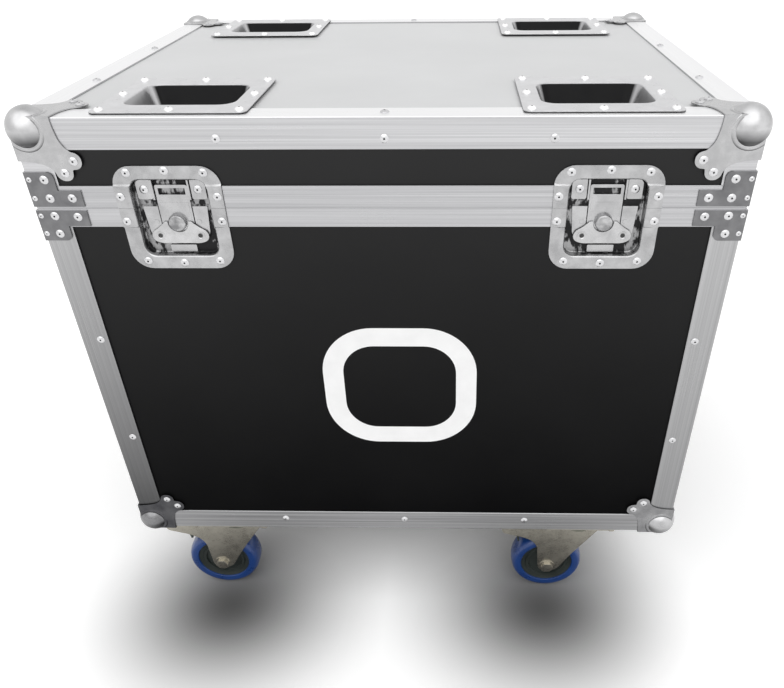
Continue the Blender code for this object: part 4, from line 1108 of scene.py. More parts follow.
@dataclass
class BallCorner:
    """Pressed corner with a ball and three lobed plates."""

    ball: float = 0.0210
    inset: float = 0.0125
    collar: float = 0.0010
    plate: float = 0.0012
    clear: float = 0.0003
    board_in: float = 0.0109
    rivet_far: float = 0.052
    rivet_near: float = 0.0405
    meet_share: float = 0.9
    lobe_start: float = -0.0405
    lobe: tuple[Point, ...] = ((-0.0085, -0.0408), (-0.0235, -0.0435), (-0.0315, -0.0500), (-0.0335, -0.0598),
                               (-0.0478, -0.0598))
    lobe_rounds: tuple[float, ...] = (0.0060, 0.0055, 0.0038, 0.0060, 0.0068)
    notch: float = -0.0490
    notch_round: float = 0.0012
    bead: tuple[Point, ...] = ((-0.8, -0.4), (4.2, -0.4), (3.8, 0.1), (3.2, 0.5), (2.4, 0.7), (1.4, 0.75),
                               (0.4, 0.5), (-0.8, 0.2))

    def plate_mesh(self) -> Mesh:
        """Draw one lobed plate in the quarter across < 0, up < 0, at level zero.

        Returns:
            Closed mesh.
        """
        edge = self.clear + self.plate * self.meet_share
        side = [(edge, self.lobe_start), *self.lobe]
        reach = [0.0, *self.lobe_rounds]
        mirrored = [(up, across) for across, up in reversed(side)]
        points = [(edge, edge), *side, (self.notch, self.notch), *mirrored]
        rounds = [self.inset + edge, *reach, self.notch_round, *reversed(reach)]
        return thicken(polygon(points, rounds, 8), self.clear, self.clear + self.plate)

    def ball_mesh(self) -> Mesh:
        """Draw the ball with its inner octant cut away to the boards.

        Returns:
            Closed mesh, all in material 1.
        """
        shape = bmesh.new()
        bmesh.ops.create_uvsphere(shape, u_segments=40, v_segments=24, radius=self.ball)
        bmesh.ops.translate(shape, vec=(-self.inset,) * 3, verts=shape.verts)
        for normal in ((1, 0, 0), (0, 1, 0), (0, 0, 1)):
            cut(shape, (-self.board_in,) * 3, normal)
        inside = [face for face in shape.faces if max(face.calc_center_median()) < -self.board_in]
        bmesh.ops.delete(shape, geom=inside, context="FACES")
        apex = shape.verts.new((-self.board_in,) * 3)
        for edge in [edge for edge in shape.edges if edge.is_boundary]:
            shape.faces.new((edge.verts[0], edge.verts[1], apex))
        bmesh.ops.recalc_face_normals(shape, faces=shape.faces)
        return mark(shape)

    def collar_mesh(self) -> Mesh:
        """Draw the pressed ring round the ball on one face, as far as the box's own edges.

        Returns:
            Closed mesh.
        """
        level = self.clear + self.plate
        hole = math.sqrt(self.ball ** 2 - (self.inset + level) ** 2)
        profile = [(hole + across * self.collar, level + out * self.collar) for across, out in self.bead]
        shape = spun(profile, 48)
        bmesh.ops.translate(shape, vec=(-self.inset, -self.inset, 0.0), verts=shape.verts)
        for reach, normal in ((-self.inset, (1, 1, 0)), (level, (1, 0, 0)), (level, (0, 1, 0))):
            cut(shape, (reach, reach, 0.0), normal, clear_outer=True)
        bmesh.ops.holes_fill(shape, edges=[edge for edge in shape.edges if edge.is_boundary])
        return shape

    def build(self, shop: Workshop) -> None:
        """Make the eight corners.

        Args:
            shop: Where the pieces are made.
        """
        spins = (Matrix.Identity(4), Matrix(((0, 1, 0), (0, 0, 1), (1, 0, 0))).to_4x4(),
                 Matrix(((0, 0, 1), (1, 0, 0), (0, 1, 0))).to_4x4())
        plates = [put(self.plate_mesh(), spin) for spin in spins]
        collars = [put(self.collar_mesh(), spin) for spin in spins]
        whole = gather(plates + collars + [self.ball_mesh()])
        level = self.clear + self.plate
        spots = [Matrix.Translation((-self.rivet_far, -self.rivet_near, level)),
                 Matrix.Translation((-self.rivet_near, -self.rivet_far, level))]
        # the lower corners take the shaded copies, darker on the left, as painted shade
        upper = [CORNER_STEEL, BALL_STEEL]
        for up, level_z, body, group, on_left, on_right in (
                (1, CASE.top, "lid", "lid", upper, upper),
                (-1, CASE.base, "case", "body", [SHADED_CORNER_STEEL, SHADED_BALL_STEEL],
                 [HALF_SHADED_CORNER_STEEL, HALF_SHADED_BALL_STEEL])):
            places: list[Matrix] = []
            for end, y, depth in ((-1, CASE.front, "front"), (1, CASE.back, "back")):
                for side, x, width, steels in ((-1, CASE.left, "left", on_left),
                                               (1, CASE.right, "right", on_right)):
                    where = Matrix.Translation((x, y, level_z)) @ Matrix.Diagonal((side, end, up, 1.0))
                    node = "{}_ball_corner_{}_{}".format(group, depth, width)
                    shop.piece(node + "_pressed", put(whole.copy(), where), steels, body, (node,))
                    places += [where @ spin @ spot for spin in spins for spot in spots]
            Rivets().group(shop, "rivets_corners_" + group, body, places)
        whole.free()


@dataclass
class Dish:
    """Pressed sheet dish: a flange with a sunken well, drawn as (across, up, out)."""

    width: float
    height: float
    corner: float
    well_width: float
    well_height: float
    well_corner: float
    sink: float
    centre: Point = (0.0, 0.0)
    well_centre: Point = (0.0, 0.0)
    draft: float = 0.0
    lip: float = 0.0022
    floor_round: float = 0.0030
    sheet: float = 0.0012
    level: float = 0.0016

    def mesh(self) -> Mesh:
        """Draw the dish's front surface.

        Returns:
            Open surface with its flange at the dish's level.
        """
        shape = rounded_face(self.width, self.height, self.corner, 8, self.centre)
        inset(shape, min((self.width - self.well_width) / 2, self.corner) / 2)
        well = max(shape.faces, key=lambda face: len(face.verts))
        self.fit(well, self.well_width, self.well_height, self.well_corner)
        lip = list(well.edges)
        grown = bmesh.ops.extrude_face_region(shape, geom=[well])
        floor = max((item for item in grown["geom"] if isinstance(item, bmesh.types.BMFace)),
                    key=lambda face: len(face.verts))
        for vert in floor.verts:
            vert.co.z -= self.sink + self.level
        narrow = (self.well_width - 2 * self.draft, self.well_height - 2 * self.draft)
        self.fit(floor, narrow[0], narrow[1], max(self.well_corner - self.draft / 2, self.lip))
        if well.is_valid:
            bmesh.ops.delete(shape, geom=[well], context="FACES_ONLY")
        round_edges(shape, list(floor.edges), self.floor_round, 3, clamp=False)
        round_edges(shape, [edge for edge in lip if edge.is_valid], self.lip, 3, clamp=False)
        bmesh.ops.translate(shape, vec=(0.0, 0.0, self.level), verts=shape.verts)
        bmesh.ops.recalc_face_normals(shape, faces=shape.faces)
        if sum(face.normal.z * face.calc_area() for face in shape.faces) < 0.0:
            bmesh.ops.reverse_faces(shape, faces=shape.faces)
        return shape

    def fit(self, face: bmesh.types.BMFace, width: float, height: float, corner: float) -> None:
        """Give a face's outline the shape of a rounded rectangle round the well's centre.

        Args:
            face: Face with as many corners as the flange's outline.
            width: Width.
            height: Height.
            corner: Corner radius.
        """
        centre = face.calc_center_bounds()
        away = [vert.co - centre for vert in face.verts]
        far = [max(abs(offset[axis]) for offset in away) for axis in (0, 1)]
        old = min(far[axis] - min(abs(offset[axis]) for offset in away) for axis in (0, 1))
        for vert, offset in zip(face.verts, away):
            for axis, half in ((0, width / 2), (1, height / 2)):
                bend = (abs(offset[axis]) - (far[axis] - old)) / old
                reach = half - corner + corner * bend
                vert.co[axis] = self.well_centre[axis] + math.copysign(reach, offset[axis])


@dataclass
class Latch:
    """Recessed butterfly latch across the split."""

    width: float = 0.106
    up: float = 0.042
    down: float = 0.066
    corner: float = 0.020
    well_width: float = 0.076
    well_up: float = 0.028
    well_down: float = 0.052
    well_corner: float = 0.011
    sink: float = 0.0096
    crank: float = 0.0018
    crank_run: float = 0.0014
    lid_rim: float = 0.0226
    body_rim: float = 0.0196
    hub_drop: float = 0.0175
    hook_low: float = -0.0092
    hook_t: float = 0.0020
    wing_middle: float = -0.0057
    wing_t: float = 0.0018
    rivet_level: float = 0.0016
    seat: float = 0.0002
    keeper: Blank = Blank(box_points(0.0196, 0.0062, 0.0345, 0.0262), (0.002, 0.002, 0.005, 0.001), 0.0030)
    rail: Blank = Blank(box_points(0.0171, 0.0062, 0.0190, 0.0266), (0.0,) * 4, 0.0048)
    guide: Blank = Blank(((0.0173, -0.0340), (0.0300, -0.0340), (0.0325, -0.0012), (0.0173, -0.0012)),
                         (0.004, 0.006, 0.001, 0.0), 0.0024)
    lug: Blank = Blank(box_points(0.0192, -0.0200, 0.0238, -0.0150), (0.002,) * 4, 0.0028)
    stop: Blank = Blank(box_points(-0.0135, -0.0505, 0.0135, -0.0425), (0.001,) * 4, 0.0026)
    hook_width: float = 0.033
    hook_height: float = 0.0515
    hook_corner: float = 0.0022
    hook_middle: float = -0.00475
    hook_border: float = 0.004
    slot_half: float = 0.0133
    slot_low: float = 0.0110
    slot_high: float = 0.0175
    pad: Blank = Blank(box_points(-0.0145, -0.0290, 0.0145, 0.0030), (0.003, 0.003, 0.001, 0.001), 0.00045)
    hub_height: float = 0.0059
    hub_steps: tuple[Point, ...] = ((0.0, 0.0004), (0.0030, 0.0003), (0.0044, 0.0007), (0.0060, 0.0003),
                                    (0.0072, 0.0004), (0.0083, 0.0012), (0.0089, 0.0026))
    spindle: float = 0.0038
    wing_bore: float = 0.0102
    wing_side: tuple[Point, ...] = ((0.0102, 0.0009), (0.0135, 0.0009), (0.0205, -0.0052), (0.0293, -0.0105),
                                    (0.0293, -0.0190), (0.0205, -0.0228), (0.0100, -0.0226))
    wing_rounds: tuple[float, ...] = (0.0, 0.0010, 0.0030, 0.0040, 0.0042, 0.0040, 0.0)
    eyelet: Point = (0.0205, -0.0140)
    eyelet_ring: tuple[Point, ...] = ((0.0024, -0.0005), (0.0048, -0.0005), (0.0046, 0.0003),
                                      (0.0034, 0.0006), (0.0024, 0.0001))
    eyelet_shade_radius: float = 0.0027
    eyelet_film: float = 0.00006
    rivet_x: float = 0.0375
    rivet_top: float = 0.0375
    rivet_foot: float = -0.0595
    rivet_bend: float = 0.002
    rivet_span: float = 0.038
    rivet_edge: float = 0.0478
    edge_rivets: Point = (0.0120, -0.0135)
    keeper_rivet: Point = (0.0268, 0.0165)

    def dish(self) -> Dish:
        """Sizes of the whole dish."""
        return Dish(self.width, self.up + self.down, self.corner, self.well_width,
                    self.well_up + self.well_down, self.well_corner, self.sink,
                    (0.0, (self.up - self.down) / 2), (0.0, (self.well_up - self.well_down) / 2),
                    lip=0.0024, floor_round=0.0016)

    def cranked(self) -> Mesh:
        """Dish whose flange steps down from the rims to the boards.

        Returns:
            Open surface.
        """
        shape = self.dish().mesh()
        for level in (self.lid_rim, self.lid_rim + self.crank_run, -self.body_rim,
                      -self.body_rim - self.crank_run):
            cut(shape, (0.0, level, 0.0), (0, 1, 0))
        for vert in shape.verts:
            past = max(vert.co.y - self.lid_rim, -self.body_rim - vert.co.y)
            if past > MERGE and vert.co.z > -self.crank:
                vert.co.z -= self.crank * min(past / self.crank_run, 1.0)
        return shape

    def half(self, side: int) -> Mesh:
        """One half of the dish.

        Args:
            side: 1 for the lid's half, -1 for the body's.

        Returns:
            Open surface.
        """
        shape = self.cranked()
        cut(shape, (0.0, side * CASE.gap / 2, 0.0), (0, side, 0), clear_inner=True)
        return shape

    def fittings(self, paired: tuple[Blank, ...], single: tuple[Blank, ...] = ()) -> Mesh:
        """Small plates on the dish's floor.

        Args:
            paired: Plates that lie on both sides of the hook, given for the right side.
            single: Plates that lie in the middle.

        Returns:
            Closed meshes.
        """
        floor = -self.sink - self.seat
        shapes = [put(blank.plate(floor), Matrix.Diagonal((side, 1.0, 1.0, 1.0)))
                  for side in (-1, 1) for blank in paired]
        return gather(shapes + [blank.plate(floor) for blank in single])

    def hook(self) -> Mesh:
        """Hook plate with its slot, stepped below the keeper.

        Returns:
            Closed mesh.
        """
        outer = rounded_face(self.hook_width, self.hook_height, self.hook_corner, 4, (0.0, self.hook_middle))
        inset(outer, self.hook_border)
        slot = max(outer.faces, key=lambda face: len(face.verts))
        for vert in slot.verts:
            vert.co.x = math.copysign(self.slot_half, vert.co.x)
            vert.co.y = self.slot_low if vert.co.y < self.hook_middle else self.slot_high
        bmesh.ops.delete(outer, geom=[slot], context="FACES")
        bmesh.ops.remove_doubles(outer, verts=outer.verts, dist=MERGE)
        top = self.hook_low + self.hook_t
        plate = soften(thicken(outer, self.hook_low, top), 0.0003)
        return gather([plate, self.pad.plate(top - self.seat, 0.0001)])

    def hub(self) -> Mesh:
        """Round hub with a worn, dished head and a stepped rim.

        Returns:
            Closed mesh.
        """
        low = self.hook_low + self.hook_t + CASE.gap
        top = low + self.hub_height
        profile = [(radius, top - down) for radius, down in self.hub_steps]
        head = spun(profile + [(profile[-1][0], low), (0.0, low)], 36)
        return gather([head, rod(self.spindle, -self.sink + CASE.gap, low + 0.0005, 20)])

    def wing(self) -> Mesh:
        """Butterfly wing with eyelets in its lobes, drawn round the hub at level zero.

        Returns:
            Closed meshes.
        """
        half = list(self.wing_side)
        rounds = list(self.wing_rounds)
        angles = [math.radians(angle) for angle in range(-162, -17, 18)]
        arc = [(self.wing_bore * math.cos(angle), self.wing_bore * math.sin(angle)) for angle in angles]
        points = half[:1] + arc[::-1] + [(-x, y) for x, y in half] + half[:0:-1]
        reach = rounds[:1] + [0.0] * len(arc) + rounds + rounds[:0:-1]
        top = self.wing_t / 2
        shapes = [Blank(tuple(points[::-1]), tuple(reach[::-1]), self.wing_t, 5).plate(-top, 0.0006, 3)]
        ring = [(radius, top + up) for radius, up in self.eyelet_ring]
        for side in (-1, 1):
            move = Matrix.Translation((side * self.eyelet[0], self.eyelet[1], 0.0))
            # painted shade: a dark disc fills the eyelet's hole
            pit = mark(rod(self.eyelet_shade_radius, CASE.gap, top + self.eyelet_film, 16))
            shapes += [put(spun(ring, 24), move), put(pit, move)]
        return gather(shapes)

    def rivets(self) -> tuple[list[Matrix], list[Matrix]]:
        """Places of the rivets on the lid's half and on the body's half.

        Returns:
            Two lists.
        """
        low = self.rivet_level - self.crank
        halves = []
        for bend, end, edge_y in ((self.rivet_bend, self.rivet_top, self.edge_rivets[0]),
                                  (-self.rivet_bend, self.rivet_foot, self.edge_rivets[1])):
            places = [(x, end - bend * abs(x) / self.rivet_span, low)
                      for x in (-self.rivet_x, 0.0, self.rivet_x)]
            places += [(x, edge_y, self.rivet_level) for x in (-self.rivet_edge, self.rivet_edge)]
            halves.append(places)
        x, up = self.keeper_rivet
        halves[0] += [(across, up, -self.sink + self.keeper.thickness - self.seat) for across in (-x, x)]
        lid, body = ([Matrix.Translation(place) for place in places] for places in halves)
        return lid, body

    def build(self, shop: Workshop) -> None:
        """Make both latches.

        Args:
            shop: Where the pieces are made.
        """
        for side in ("left", "right"):
            x = middle("latch_lid_dish_" + side)[0]
            where = Face.FRONT.at(x, CASE.front, CASE.split)
            hub = Face.FRONT.at(x, CASE.front, CASE.split - self.hub_drop)
            for part, sign, body in (("lid", 1, "lid"), ("body", -1, "case")):
                node = "latch_{}_dish_{}".format(part, side)
                shape = put(self.half(sign), where)
                made = shop.piece(node + "_pressed", shape, [LATCH_STEEL], body, (node,))
                shop.sheet(made, self.dish().sheet)
            keepers = self.fittings((self.keeper, self.rail))
            guides = self.fittings((self.guide, self.lug), (self.stop,))
            shop.piece("latch_keepers_" + side, put(keepers, where), [DISH_STEEL], "lid")
            shop.piece("latch_guides_" + side, put(guides, where), [DISH_STEEL], "case")
            node = "latch_hook_" + side
            shop.piece(node + "_plate", put(self.hook(), where), [HOOK_STEEL], node, (node,))
            node = "latch_hub_" + side
            shop.piece(node + "_head", put(self.hub(), hub), [HUB_STEEL], node, (node,))
            node = "latch_wing_" + side
            wing = hub @ Matrix.Translation((0.0, 0.0, self.wing_middle))
            shop.piece(node + "_butterfly", put(self.wing(), wing), [WING_STEEL, PIT_SHADE], node, (node,))
            lid, body_spots = self.rivets()
            Rivets().group(shop, "rivets_latch_lid_" + side, "lid", [where @ spot for spot in lid])
            Rivets().group(shop, "rivets_latch_body_" + side, "case", [where @ spot for spot in body_spots])


@dataclass
class StackingCup:
    """Cup in the lid that takes a wheel of the case above."""

    width: float = 0.150
    depth: float = 0.140
    corner: float = 0.007
    well_width: float = 0.111
    well_depth: float = 0.083
    well_corner: float = 0.016
    sink: float = 0.0318
    draft: float = 0.012
    lip: float = 0.0014
    floor_round: float = 0.009
    rivet_x: float = 0.067
    rivet_rows: tuple[float, ...] = (-0.0605, 0.0, 0.0605)
    rivet_height: float = 0.0026

    def build(self, shop: Workshop) -> None:
        """Make the four cups.

        Args:
            shop: Where the pieces are made.
        """
        spots: list[Matrix] = []
        dish = Dish(self.width, self.depth, self.corner, self.well_width, self.well_depth, self.well_corner,
                    self.sink, draft=self.draft, lip=self.lip, floor_round=self.floor_round)
        for end, side in CORNERS:
            node = "stacking_cup_{}_{}".format(end, side)
            x, y, _ = middle(node)
            shape = put(dish.mesh(), Face.TOP.at(x, y, CASE.top))
            shop.sheet(shop.piece(node + "_pressed", shape, [CUP_STEEL], "lid", (node,)), dish.sheet)
            for row in self.rivet_rows:
                for across in (-self.rivet_x, 0.0, self.rivet_x):
                    if across or row:
                        spots.append(Face.TOP.at(x + across, y + row, CASE.top + dish.level))
        Rivets(height=self.rivet_height).group(shop, "rivets_cups", "lid", spots, LIT_RIVET_STEEL)


@dataclass
class Hinge:
    """Back hinge: two leaves round a pin."""

    width: float = 0.070
    leaf: float = 0.038
    corner: float = 0.006
    sheet: float = 0.0015
    axis_out: float = 0.0048
    knuckle: float = 0.0045
    pin: float = 0.0024
    knuckle_round: float = 0.0004
    pin_round: float = 0.0005
    inner_half: float = 0.012
    rivet_x: float = 0.024
    rivet_up: float = 0.026

    def leaf_mesh(self, up: int) -> Mesh:
        """Draw a leaf with its knuckles.

        Args:
            up: 1 for the lid's leaf, -1 for the body's.

        Returns:
            Closed meshes.
        """
        half = self.width / 2
        blank = Blank(box_points(-half, CASE.gap, half, self.leaf), (0.0, 0.0, self.corner, self.corner),
                      self.sheet, 6)
        shapes = [put(blank.plate(CASE.gap), Matrix.Diagonal((1.0, up, 1.0, 1.0)))]
        lay = Matrix.Translation((0.0, 0.0, self.axis_out)) @ ALONG_X
        inner = self.inner_half
        outer = inner + CASE.gap
        runs = [(-inner, inner)] if up > 0 else [(-half, -outer), (outer, half)]
        bore = self.pin + CASE.gap if up > 0 else self.pin
        for low, high in runs:
            shapes.append(put(soften(rod(self.knuckle, low, high, 28, bore), self.knuckle_round), lay))
        if up < 0:
            end = half - self.knuckle_round
            shapes.append(put(soften(rod(self.pin * 1.02, -end, end, 20), self.pin_round), lay))
        return gather(shapes)

    def build(self, shop: Workshop) -> None:
        """Make both hinges.

        Args:
            shop: Where the pieces are made.
        """
        for side in ("left", "right"):
            for part, up, body in (("lid", 1, "lid"), ("body", -1, "case")):
                node = "hinge_{}_leaf_{}".format(part, side)
                where = Face.BACK.at(middle(node)[0], CASE.back, CASE.split)
                shop.piece(node + "_plate", put(self.leaf_mesh(up), where), [DISH_STEEL], body, (node,))
                spots = [where @ Matrix.Translation((x, up * self.rivet_up, CASE.gap + self.sheet))
                         for x in (-self.rivet_x, 0.0, self.rivet_x)]
                Rivets().group(shop, "rivets_" + node, body, spots)


@dataclass
class Handle:
    """Recessed side handle with a rubber grip on a sprung bail."""

    width: float = 0.160
    height: float = 0.105
    corner: float = 0.012
    well_width: float = 0.130
    well_height: float = 0.076
    well_corner: float = 0.010
    sink: float = 0.0138
    pivot_up: float = 0.022
    bail_depth: float = 0.0068
    bar: float = 0.0040
    half_width: float = 0.052
    grip_down: float = 0.021
    bend: float = 0.010
    bend_steps: int = 6
    stub: float = 0.0630
    grip: float = 0.0058
    grip_half: float = 0.036
    grip_end: float = 0.86
    ribs: int = 14
    rib: tuple[Point, ...] = ((1.0, 0.25), (1.0, 0.75), (0.88, 0.92))
    ear: float = 0.0062
    ear_in: float = 0.0038
    ear_out: float = 0.0002
    ear_sunk: float = 0.0006
    lip: float = 0.0026
    floor_round: float = 0.002
    rivet_x: float = 0.0725
    rivet_z: float = 0.0455

    def bail(self) -> Mesh:
        """Bar and grip, drawn round the pivot axis.

        Returns:
            Closed meshes, with material 1 on the bar.
        """
        low = -self.pivot_up - self.grip_down
        shape = bmesh.new()
        ring = bmesh.ops.create_circle(shape, cap_ends=True, segments=16, radius=self.bar)["verts"]
        bmesh.ops.transform(shape, matrix=Matrix.Translation((-self.stub, 0.0, 0.0)) @ ALONG_X, verts=ring)
        path = [(-self.half_width, 0.0)]
        for step in range(self.bend_steps + 1):
            angle = math.pi + step * math.pi / (2 * self.bend_steps)
            path.append((self.bend - self.half_width + self.bend * math.cos(angle),
                         low + self.bend + self.bend * math.sin(angle)))
        path = [(-self.stub, 0.0)] + path + [(-x, y) for x, y in reversed(path)] + [(self.stub, 0.0)]
        self.sweep(shape, path)
        grip = put(spun(self.grip_profile(), 24), Matrix.Translation((0.0, low, 0.0)) @ ALONG_X)
        return gather([mark(shape), grip])

    def grip_profile(self) -> list[Point]:
        """Ribbed outline of the grip.

        Returns:
            Points as (radius, along).
        """
        step = 2 * self.grip_half / self.ribs
        end = self.grip * self.grip_end
        points = [(0.0, -self.grip_half), (end, -self.grip_half)]
        for index in range(self.ribs):
            start = -self.grip_half + index * step
            points += [(self.grip * size, start + step * share) for size, share in self.rib]
        return points + [(end, self.grip_half), (0.0, self.grip_half)]

    def sweep(self, shape: Mesh, path: list[Point]) -> None:
        """Extrude the disc in a mesh along a flat path.

        Args:
            shape: Mesh that holds one capped disc at the path's start.
            path: Points as (across, up).
        """
        face = shape.faces[:][0]
        for index in range(1, len(path)):
            here = Vector((*path[index], 0.0))
            into = (here - Vector((*path[index - 1], 0.0))).normalized()
            ahead = path[min(index + 1, len(path) - 1)]
            away = (Vector((*ahead, 0.0)) - here).normalized() if index < len(path) - 1 else into
            normal = (into + away).normalized()
            grown = bmesh.ops.extrude_face_region(shape, geom=[face])
            face = [item for item in grown["geom"] if isinstance(item, bmesh.types.BMFace)][0]
            for vert in face.verts:
                reach = (here - vert.co).dot(normal) / into.dot(normal)
                vert.co += into * reach
        bmesh.ops.recalc_face_normals(shape, faces=shape.faces)

    def ears(self) -> Mesh:
        """Ears that carry the bail's stubs.

        Returns:
            Closed meshes.
        """
        low, high = self.pivot_up - self.ear, self.pivot_up + self.ear
        root, tip = -self.sink - self.ear_sunk, -self.bail_depth + self.ear
        crown = self.ear * 0.99
        blank = Blank(((root, low), (-self.bail_depth, low), (tip, low), (tip, high), (root, high)),
                      (0.0, 0.0, crown, crown, 0.0), self.ear_in + self.ear_out, 8)
        turns = [Matrix(((0, 0, side), (0, 1, 0), (1, 0, 0))).to_4x4() for side in (-1, 1)]
        return gather([put(blank.plate(self.stub - self.ear_in), turn) for turn in turns])

    def build(self, shop: Workshop) -> None:
        """Make both handles.

        Args:
            shop: Where the pieces are made.
        """
        dish = Dish(self.width, self.height, self.corner, self.well_width, self.well_height, self.well_corner,
                    self.sink, lip=self.lip, floor_round=self.floor_round)
        for side, _, face, x in SIDES:
            node = "handle_dish_" + side
            where = face.at(x, CASE.middle_y, middle(node)[2])
            made = shop.piece(node + "_pressed", put(dish.mesh(), where), [DISH_STEEL], "case", (node,))
            shop.sheet(made, dish.sheet)
            shop.piece("handle_ears_" + side, put(self.ears(), where), [DISH_STEEL], "case")
            pivot = where @ Matrix.Translation((0.0, self.pivot_up, -self.bail_depth))
            node = "handle_bail_" + side
            shop.piece(node + "_bar", put(self.bail(), pivot), [GRIP_RUBBER, DISH_STEEL], node, (node,))
            spots = [where @ Matrix.Translation((across, up, dish.level))
                     for across in (-self.rivet_x, 0.0, self.rivet_x) for up in (-self.rivet_z, self.rivet_z)]
            spots += [where @ Matrix.Translation((across, 0.0, dish.level))
                      for across in (-self.rivet_x, self.rivet_x)]
            Rivets().group(shop, "rivets_handle_" + side, "case", spots)


@dataclass
class Caster:
    """Swivel caster with a blue tyre; the front ones have a brake pedal."""

    wheel: float = 0.050
    tyre_depth: float = 0.014
    tyre_half: float = 0.016
    bore: float = 0.0063
    axle: float = 0.006
    hub_half: float = 0.017
    fork_inner: float = 0.0178
    fork_t: float = 0.003
    offset: float = 0.036
    crown_r: float = 0.033
    crown_t: float = 0.004
    pedal_half: float = 0.0150
    pedal_back: float = 0.091
    pedal_drop: float = 0.0085
    tyre_foot: tuple[Point, ...] = ((0.0, 0.002), (0.001, 0.0006), (0.0035, 0.0))
    tyre_shoulder: tuple[Point, ...] = ((0.0062, 0.0), (0.0042, 0.0008), (0.0024, 0.0026), (0.0010, 0.0056),
                                        (0.0003, 0.0095))
    tread_line: float = 0.0012
    boss: tuple[Point, ...] = ((0.0105, 0.0), (0.0112, 0.0008))
    web: tuple[Point, ...] = ((0.0118, 0.0035), (0.0190, 0.0050), (0.0250, 0.0052), (0.0258, 0.0028),
                              (0.0292, 0.0022), (0.0300, 0.0042))
    rim_steps: tuple[Point, ...] = ((0.0020, 0.0030), (0.0, 0.0022))
    fork_rounds: tuple[float, ...] = (0.0118, 0.0118, 0.020, 0.006, 0.004, 0.003, 0.004, 0.003, 0.004, 0.008,
                                      0.012)
    washer: float = 0.0115
    nut: float = 0.0088
    nut_height: float = 0.0038
    kingpin_bore: float = 0.0066
    crown_round: tuple[Point, ...] = ((0.002, 0.0), (0.0, 0.0012), (0.0, 0.0030), (0.0015, 0.004))
    bridge: Blank = Blank(box_points(-0.097, -0.0204, -0.012, 0.0204), (0.002, 0.0, 0.0, 0.002), 0.00188, 3)
    bridge_up: float = 0.0006
    pin: float = 0.0030
    pin_out: float = 0.0008
    stud: float = 0.0024
    stud_out: float = 0.0006
    stud_back: float = 0.0600
    lever_line: tuple[Point, ...] = ((0.0120, 0.0058), (-0.0085, 0.0056), (-0.0165, 0.0032),
                                     (-0.0235, 0.0008), (-0.0288, 0.0046))
    lever_rounds: tuple[float, ...] = (0.0, 0.006, 0.006, 0.003, 0.0008)
    lever_t: float = 0.0026
    barrel: float = 0.0060
    barrel_bore: float = 0.0033
    tab: Blank = Blank(((-0.0022, -0.0040), (0.0022, -0.0040), (0.0118, -0.0205), (0.0149, -0.0388),
                        (0.0124, -0.0388), (0.0092, -0.0205)),
                       (0.0, 0.0, 0.004, 0.0006, 0.0006, 0.004), 0.0150)
    plate_width: float = 0.100
    plate_depth: float = 0.085
    plate_corner: float = 0.008
    plate_t: float = 0.003
    race: tuple[Point, ...] = ((0.0, 0.0), (0.0290, 0.0), (0.0308, 0.0014), (0.0308, 0.0035),
                               (0.0294, 0.0046), (0.0294, 0.0060))
    race_top: float = 0.0308
    bolt: float = 0.0062
    bolt_height: float = 0.0050
    bolt_places: Point = (0.042, 0.034)
    kingpin: tuple[Point, ...] = ((0.0, -0.0102), (0.0088, -0.0102), (0.0088, -0.0046), (0.0058, -0.0046),
                                  (0.0058, 0.0), (0.0, 0.0))
    play: float = 0.0004

    def tyre(self) -> Mesh:
        """Tyre with rounded shoulders and a thin moulding line.

        Returns:
            Closed mesh.
        """
        rim = self.wheel - self.tyre_depth
        half = [(rim, 0.0)] + [(rim + up, self.tyre_half - inside) for up, inside in self.tyre_foot]
        half += [(self.wheel - down, self.tyre_half - inside) for down, inside in self.tyre_shoulder]
        half += [(self.wheel, self.tread_line), (self.wheel, 0.0)]
        return spun([(radius, -out) for radius, out in half] + half[-2:0:-1], 64)

    def core(self) -> Mesh:
        """Wheel centre with its dished web and bearing boss.

        Returns:
            Closed mesh.
        """
        rim = self.wheel - self.tyre_depth
        half = [(self.bore, self.hub_half)]
        half += [(radius, self.hub_half - inside) for radius, inside in self.boss]
        half += [(radius, self.tyre_half - inside) for radius, inside in self.web]
        half += [(rim - down, self.tyre_half - inside) for down, inside in self.rim_steps]
        return spun(half + [(radius, -out) for radius, out in reversed(half)], 56)

    def side_plate(self, crown_low: float) -> list[Point]:
        """Outline of a fork side as (x, z) from the swivel axis and the floor.

        Args:
            crown_low: Height of the crown's underside.

        Returns:
            Corner points, anticlockwise.
        """
        top = crown_low + self.crown_t * 0.6
        drop = crown_low - self.wheel
        return [(-self.offset - 0.0125, self.wheel - 0.011), (-self.offset + 0.0125, self.wheel - 0.011),
                (-self.offset + 0.030, self.wheel + 0.26 * drop), (0.0250, crown_low - 0.19 * drop),
                (0.0325, crown_low - 0.06 * drop), (0.0325, top), (-0.0900, top), (-0.1040, top - 0.0065),
                (-0.1020, crown_low - 0.20 * drop), (-0.0700, crown_low - 0.31 * drop),
                (-self.offset - 0.0165, crown_low - 0.45 * drop)]

